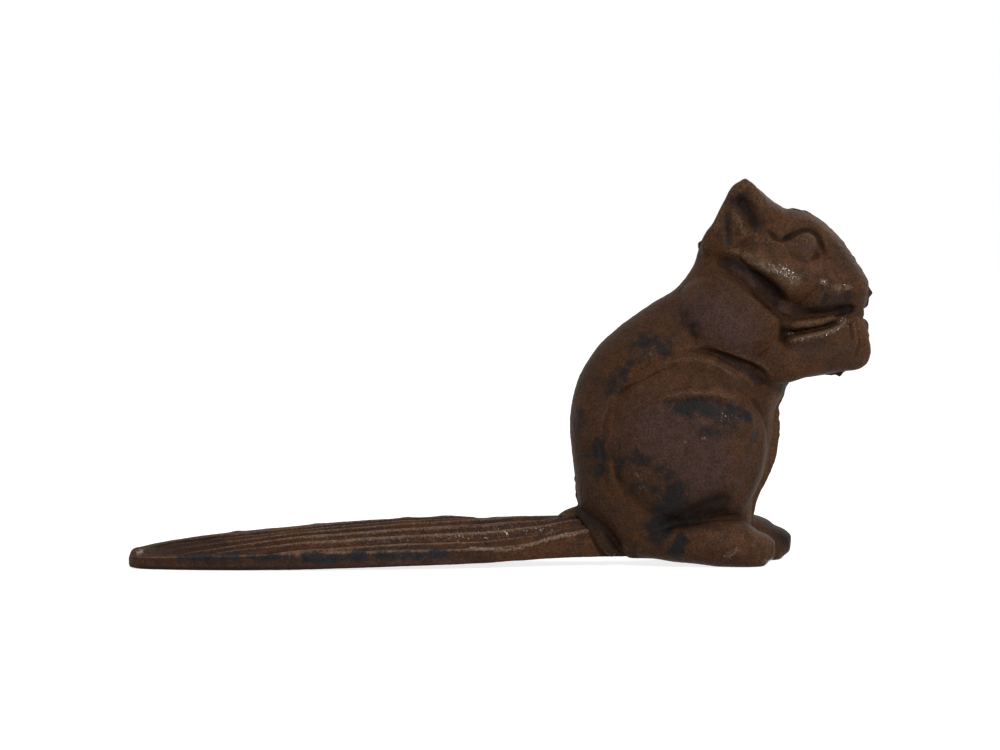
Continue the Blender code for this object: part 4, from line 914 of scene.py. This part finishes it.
surfaceMarks = {
    # where each finish and painted light shows: a line in the side view, its reach, and how strongly
    "rubbed": [
        ([(51.3, 12.1), (54, 17.6), (56.4, 24)], 4.9, 0.95), ([(50.4, 25.4), (55.2, 30.4)], 2.6, 0.66),
        ([(44.6, 35.6), (49, 33.7), (52.2, 31.8)], 3.2, 0.55), ([(38, 34), (42, 30), (44, 26)], 4, 0.34),
        ([(56.4, 50.2), (62.6, 50.8), (69, 50.2), (75.4, 48.8), (78.4, 47.6)], 3.3, 0.72),
        ([(66.7, 43), (71.1, 45.4), (76, 46.4)], 3.2, 0.56), ([(81.3, 42), (81.2, 39.8)], 1.5, 0.6),
        ([(31.4, 40), (31.6, 34), (32.4, 28.6)], 3.4, 0.62), ([(25.6, 50), (25.4, 44)], 2.4, 0.5),
        ([(38.6, 47), (38.2, 38), (39, 28)], 1.8, 0.35), ([(46.6, 71), (54, 69.2)], 3.8, 0.55),
        ([(37, 57.6), (40.2, 63.2), (46.6, 68.4)], 3.6, 0.45), ([(57, 78.6), (63.6, 75.6)], 3, 0.45),
        ([(57.8, 9.4), (57.2, 7), (55.6, 4.6)], 2.3, 0.95),
        ([(73, 97.4), (77.4, 95), (81.4, 93), (85, 91), (89, 88)], 1.3, 0.4),
        ([(73.6, 111), (73.4, 106), (74.2, 102)], 1.4, 0.7), ([(105, 84.2), (111, 84)], 2.2, 0.6),
        ([(-102.5, 4), (-95.5, 4.4), (-84, 4.4)], 1.4, 0.72), ([(-80, 4), (-66, 4)], 1.3, 0.7),
        ([(-61.6, 3.8), (-52, 3.9), (-43, 4.4)], 1.8, 0.9), ([(-38.4, 4.2), (-28, 4.6), (-17, 5)], 1.5, 0.85),
    ],
    # dust with a painted purple-grey sheen on the broad shoulder and haunch, and painted purple shade in the
    # throat, under the muzzle and below the shoulder's fold
    "dustAndSheen": [
        ([(66, 80), (76, 74)], 8, 0.9), ([(50, 44), (62, 42), (66, 30)], 13, 0.8),
        ([(74, 95.4), (80, 91.6), (86, 87), (90, 81)], 2.4, 0.9), ([(92, 80), (106, 80.6)], 1.6, 0.35),
        ([(74, 116), (78, 117.4), (80.6, 116.6)], 1.6, 0.7), ([(95.6, 101), (99, 100)], 3.2, 0.5),
        ([(34, 40), (34, 50)], 5, 0.4), ([(72, 64.6), (78, 61.6), (83, 58.6)], 2, 0.9),
        ([(-110, 1.4), (-60, 1.4), (-10, 2.6)], 1.4, 0.6),
    ],
    "bared": [
        ([(64, 9), (74, 9.6), (83, 7)], 5, 0.56), ([(88.4, 52), (87, 42), (84.6, 30)], 2.6, 0.9),
        ([(60, 55.4), (70, 55.2), (78, 53)], 1.5, 0.8), ([(68.6, 66.4), (75, 62.4), (81, 58)], 0.9, 0.8),
        ([(84, 98.6), (98, 94.6), (108, 92)], 3.4, 0.6), ([(78, 105), (84, 103.6)], 2.4, 0.6),
        ([(-4, 4), (12, 5.6), (28, 8)], 2.4, 0.4), ([(-119, 3), (-112, 4)], 3, 0.5),
    ],
    # painted shade: the ear's scoop, the lid, the folds, the mouth, under the haunch, the far foot and the
    # shadow along the tail's foot
    "paintedShade": [
        ([(76.8, 116), (78.8, 113.6), (80.6, 110.9), (82.6, 107.8)], 2.7, 0.8),
        ([(109.4, 79.9), (112.2, 80.6)], 1.6, 0.95), ([(94.4, 80.8), (102, 80.6), (110, 82)], 1.6, 0.75),
        ([(87.4, 104.8), (90.8, 103.2), (95.5, 105.3), (98.2, 106), (101.4, 104.7),
          (103.7, 100.4)], 0.8, 0.5), ([(70, 68), (78, 65.2), (84.4, 62)], 0.7, 0.5),
        ([(59.2, 15.2), (64, 17.8), (70, 20.6)], 4.2, 0.95), ([(58, 12.6), (66, 14.6)], 1.4, 0.6),
        ([(26, 17), (32, 12), (36, 6), (38, 1)], 3.4, 0.7),
        ([(74, 96.6), (80, 93.2), (86, 90), (90.6, 85.6), (93.4, 81.8)], 1.3, 0.5),
        ([(104, 76), (110, 78)], 1, 0.6), ([(90.6, 74.6), (91.4, 70)], 1.6, 0.6),
        ([(92, 70.4), (98, 69.6), (104, 70.8)], 2.4, 0.42), ([(41, 27), (46, 20), (52, 14)], 4, 0.3),
        ([(84.6, 45), (83.6, 34), (80, 24)], 1, 0.4), ([(87, 13), (92.6, 6)], 3.2, 0.85),
        ([(109.6, 82.6), (111.6, 84.6)], 0.9, 0.5), ([(-116, 0.2), (0, 0.8), (30, 1.4)], 0.7, 0.8),
        ([(-114, 6.4), (-90, 9)], 3, 0.45),
    ],
    # polish, where the wax shines, and with it a lighter painted highlight colour on the cheek roll, nose,
    # forearm, foot and tail
    "polishAndHighlight": [
        ([(78.8, 98.4), (83.2, 96.2)], 0.9, 0.8),
        ([(83.2, 95.8), (87.7, 93.7), (92.2, 91.7), (95, 89.6)], 1.7, 1.05),
        ([(90.6, 93.4), (95.2, 90.6)], 2.2, 1.15), ([(102.8, 89.6), (104, 89.2)], 0.9, 1.1),
        ([(107.6, 87.6), (112, 87.7)], 1.1, 1), ([(85, 101.4), (82, 103)], 2.6, 0.4),
        ([(92.8, 72.1), (98.7, 72.3), (102.2, 73), (106.4, 74.4), (110.4, 77)], 1.4, 0.98),
        ([(110.9, 78), (111.2, 75.4)], 0.7, 0.9), ([(114.4, 77.6), (114.9, 74.6)], 0.6, 0.8),
        ([(87.6, 80.4), (88.8, 77.6)], 0.9, 0.8), ([(72.2, 3.6), (75.2, 5.8)], 1.3, 0.85),
        ([(84, 1.6), (86.4, 1.8)], 0.8, 0.9),
        ([(-9.3, 6.5), (-2.9, 5.9), (4.1, 5.6), (8.9, 6.8), (13.6, 8.5), (17.8, 9.5),
          (21.9, 10.4)], 0.5, 1.2), ([(22, 9.6), (24, 9.8)], 0.6, 1),
        ([(-60, 9), (-20, 9.6), (16, 12)], 2.4, 0.5), ([(-117.4, 5), (-116.2, 5.2)], 0.8, 1.3),
        ([(65.4, 41.1), (65.6, 41.1)], 0.6, 1.9), ([(59.4, 39.9), (59.6, 39.9)], 0.5, 1.7),
        ([(71, 47.6), (77.1, 46.9)], 2.2, 0.55), ([(45.2, 30), (46, 25.4)], 2, 0.6),
        ([(49.8, 69.4), (47.6, 65.8)], 1.2, 0.7), ([(-70, 4), (-20, 5)], 1.2, 0.4),
        ([(112, 97), (117.4, 88)], 2.2, 0.3),
    ],
}
# the right half's edge along the seam, filed after casting, where the wax shines and a painted highlight
# lightens it
seamPolishAndHighlight = {"fromJoint": 1.0, "reach": 0.55, "strength": 1.15}
# the relief is what smoothing takes off: the passes that leave the fine form and the broad form
reliefMark = {"finePasses": 3, "broadPasses": 30, "perMm": 4, "topGain": 1.6}


def softened(values, ends, passes):
    # each point drawn halfway to its neighbours' middle, so many times
    count = len(values)
    neighbours = np.maximum(np.bincount(ends.ravel(), minlength=count), 1)[:, None]
    for _ in range(passes):
        summed = np.stack([
            np.bincount(ends[:, 0], weights=values[ends[:, 1], axis], minlength=count)
            + np.bincount(ends[:, 1], weights=values[ends[:, 0], axis], minlength=count)
            for axis in range(3)
        ], axis=1)
        values = (values + summed / neighbours) / 2
    return values


def markSurface(piece, filedSeam=False, topOnly=False):
    # values a point: how far it stands proud of the surface about it, in quarters of a mm, and how far each
    # finish, painted shade, sheen and highlight shows there
    mesh = piece.data
    places, normals = placesAndNormals(mesh)
    places /= mm
    ends = np.empty(len(mesh.edges) * 2, dtype=np.int64)
    mesh.edges.foreach_get("vertices", ends)
    ends = ends.reshape(-1, 2)
    fine = softened(places, ends, reliefMark["finePasses"])
    broad = softened(fine, ends, reliefMark["broadPasses"])
    marks = {"relief": reliefMark["perMm"] * ((fine - broad) * normals).sum(axis=1)}
    if topOnly:
        marks["relief"] *= np.clip(normals[:, 2] * reliefMark["topGain"], 0, 1)
    flat = places[:, [0, 2]] - (shiftX, 0)
    for mark, streaks in surfaceMarks.items():
        marks[mark] = np.zeros(len(places))
        for path, reach, strength in streaks:
            signed, _ = strokeField(flat, np.array(path))
            marks[mark] = np.maximum(marks[mark], strength * bell(signed, reach))
    if filedSeam:
        seam = seamPolishAndHighlight["strength"] * bell(-places[:, 1] - seamPolishAndHighlight["fromJoint"], seamPolishAndHighlight["reach"])
        marks["polishAndHighlight"] = np.maximum(marks["polishAndHighlight"], seam)
    for mark, values in marks.items():
        layer = mesh.attributes.new(mark, "FLOAT", "POINT")
        layer.data.foreach_set("value", values.astype(np.float32))


# the grain stands proud of the solids, so every piece is drawn in by this share
drawnIn = (0.998, 0.993, 1.0)


def placed(name, form, node, material, sharp=40.0):
    shift = Matrix.Translation((shiftX, 0, 0))
    form.transform(Matrix.Diagonal((*drawnIn, 1.0)) @ Matrix.Scale(mm, 4) @ shift)
    bmesh.ops.triangulate(form, faces=[face for face in form.faces if len(face.verts) > 4])
    mesh = meshOf(form, name)
    mesh.shade_smooth()
    mesh.set_sharp_from_angle(angle=math.radians(sharp))
    mesh.materials.clear()
    mesh.materials.append(material)
    piece = linkedObject(name, mesh)
    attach(piece, "root")
    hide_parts(node)
    return piece


camera = {
    "distance": 1200.0, "azimuth": -4.0, "elevation": 2.33, "roll": 0.82, "targetZ": 60.7,
    "lens": 134.65, "sensor": 36.0,
}


def setCamera():
    data = bpy.data.cameras.new("photoView")
    made = linkedObject("photoView", data)
    data.sensor_width = camera["sensor"]
    data.lens = camera["lens"]
    turn, rise = math.radians(camera["azimuth"]), math.radians(camera["elevation"])
    view = Vector((math.sin(turn) * math.cos(rise), math.cos(turn) * math.cos(rise), -math.sin(rise)))
    target = Vector((shiftX, 0, camera["targetZ"])) * mm
    facing = view.to_track_quat("-Z", "Y").to_matrix().to_4x4()
    rolled = facing @ Matrix.Rotation(-math.radians(camera["roll"]), 4, "Z")
    made.matrix_world = Matrix.Translation(target - view * camera["distance"] * mm) @ rolled
    bpy.context.scene.camera = made


# a softbox right of the camera for the glints, a weak lamp behind for the rims, and a broad even ceiling that
# lights the whole floor alike, with their places and sizes in metres
lamps = {
    "softbox": {"kind": "AREA", "place": (0.42, -0.85, 0.5), "level": 5.1, "size": 0.12},
    "backLamp": {"kind": "AREA", "place": (0.4, 0.6, 0.55), "level": 1.1, "size": 0.3},
    "ceiling": {"kind": "SUN", "place": (0.25, -0.2, 1.0), "level": 0.36, "size": 1.2},
}
lampsAimAt = Vector((0, 0, 0.04))
room = {"light": 0.29, "seen": 1.0}
paper = {"colour": "#c9c8c6", "roughness": 0.9, "glow": 0.82, "halfSize": 6.0, "drop": 0.0002}


def seenShare(tree):
    # 1 for what the camera sees, straight, mirrored or through glass, and 0 for the light on other surfaces
    rays = addNode(tree, "LightPath", {}, {}).outputs
    seen = addNode(tree, "Math", {"operation": "MAXIMUM"}, {
        0: rays["Is Camera Ray"], 1: rays["Is Glossy Ray"]})
    return addNode(tree, "Math", {"operation": "MAXIMUM"}, {0: seen, 1: rays["Is Transmission Ray"]})


def setLight():
    for name, lamp in lamps.items():
        data = bpy.data.lights.new(name, lamp["kind"])
        data.energy = lamp["level"]
        if lamp["kind"] == "AREA":
            data.size = lamp["size"]
        else:
            data.angle = lamp["size"]
        made = linkedObject(name, data)
        made.location = lamp["place"]
        made.rotation_euler = (lampsAimAt - made.location).to_track_quat("-Z", "Y").to_euler()
    world = bpy.data.worlds.new("paleRoom")
    bpy.context.scene.world = world
    world.use_nodes = True
    tree = world.node_tree
    tree.nodes.clear()
    strength = addNode(tree, "MapRange", {}, {
        "Value": seenShare(tree), "To Min": room["light"], "To Max": room["seen"]})
    sky = addNode(tree, "Background", {}, {"Color": (1, 1, 1, 1), "Strength": strength})
    addNode(tree, "OutputWorld", {}, {"Surface": sky})


def setFloor():
    material, tree = newMaterial("paleStudioPaper")
    glow = addNode(tree, "MapRange", {}, {"Value": seenShare(tree), "To Max": paper["glow"]})
    shader = addNode(tree, "BsdfPrincipled", {}, {
        "Base Color": linear(paper["colour"]), "Roughness": paper["roughness"],
        "Emission Color": (1, 1, 1, 1), "Emission Strength": glow})
    addNode(tree, "OutputMaterial", {}, {"Surface": shader})
    form = bmesh.new()
    bmesh.ops.create_grid(form, x_segments=2, y_segments=2, size=paper["halfSize"])
    floor = linkedObject("floor", meshOf(form, "floor"))
    floor.data.materials.append(material)
    floor.location.z = -paper["drop"]


def main():
    iron = sandCastIron("sandCastIronRustBrown", castFinishAndShading)
    tailIron = sandCastIron("sandCastIronTail", tailFinishAndShading)
    rightHalf = placed("rightCasting", rightCasting(squirrel(right)), "right_half", iron)
    leftHalf = placed("leftCasting", leftCasting(squirrel(left)), "left_half", iron)
    wedge = placed("ribbedTail", ribbedTail(), "tail_wedge", tailIron)
    placed("slottedScrew", slottedScrew(), "clamp_screw", brownedSteel(), sharp=30.0)
    markSurface(rightHalf, filedSeam=True)
    markSurface(leftHalf)
    markSurface(wedge, topOnly=True)
    print("pieces placed")
    bpy.context.scene.view_settings.view_transform = "Standard"
    setCamera()
    setLight()
    setFloor()


main()
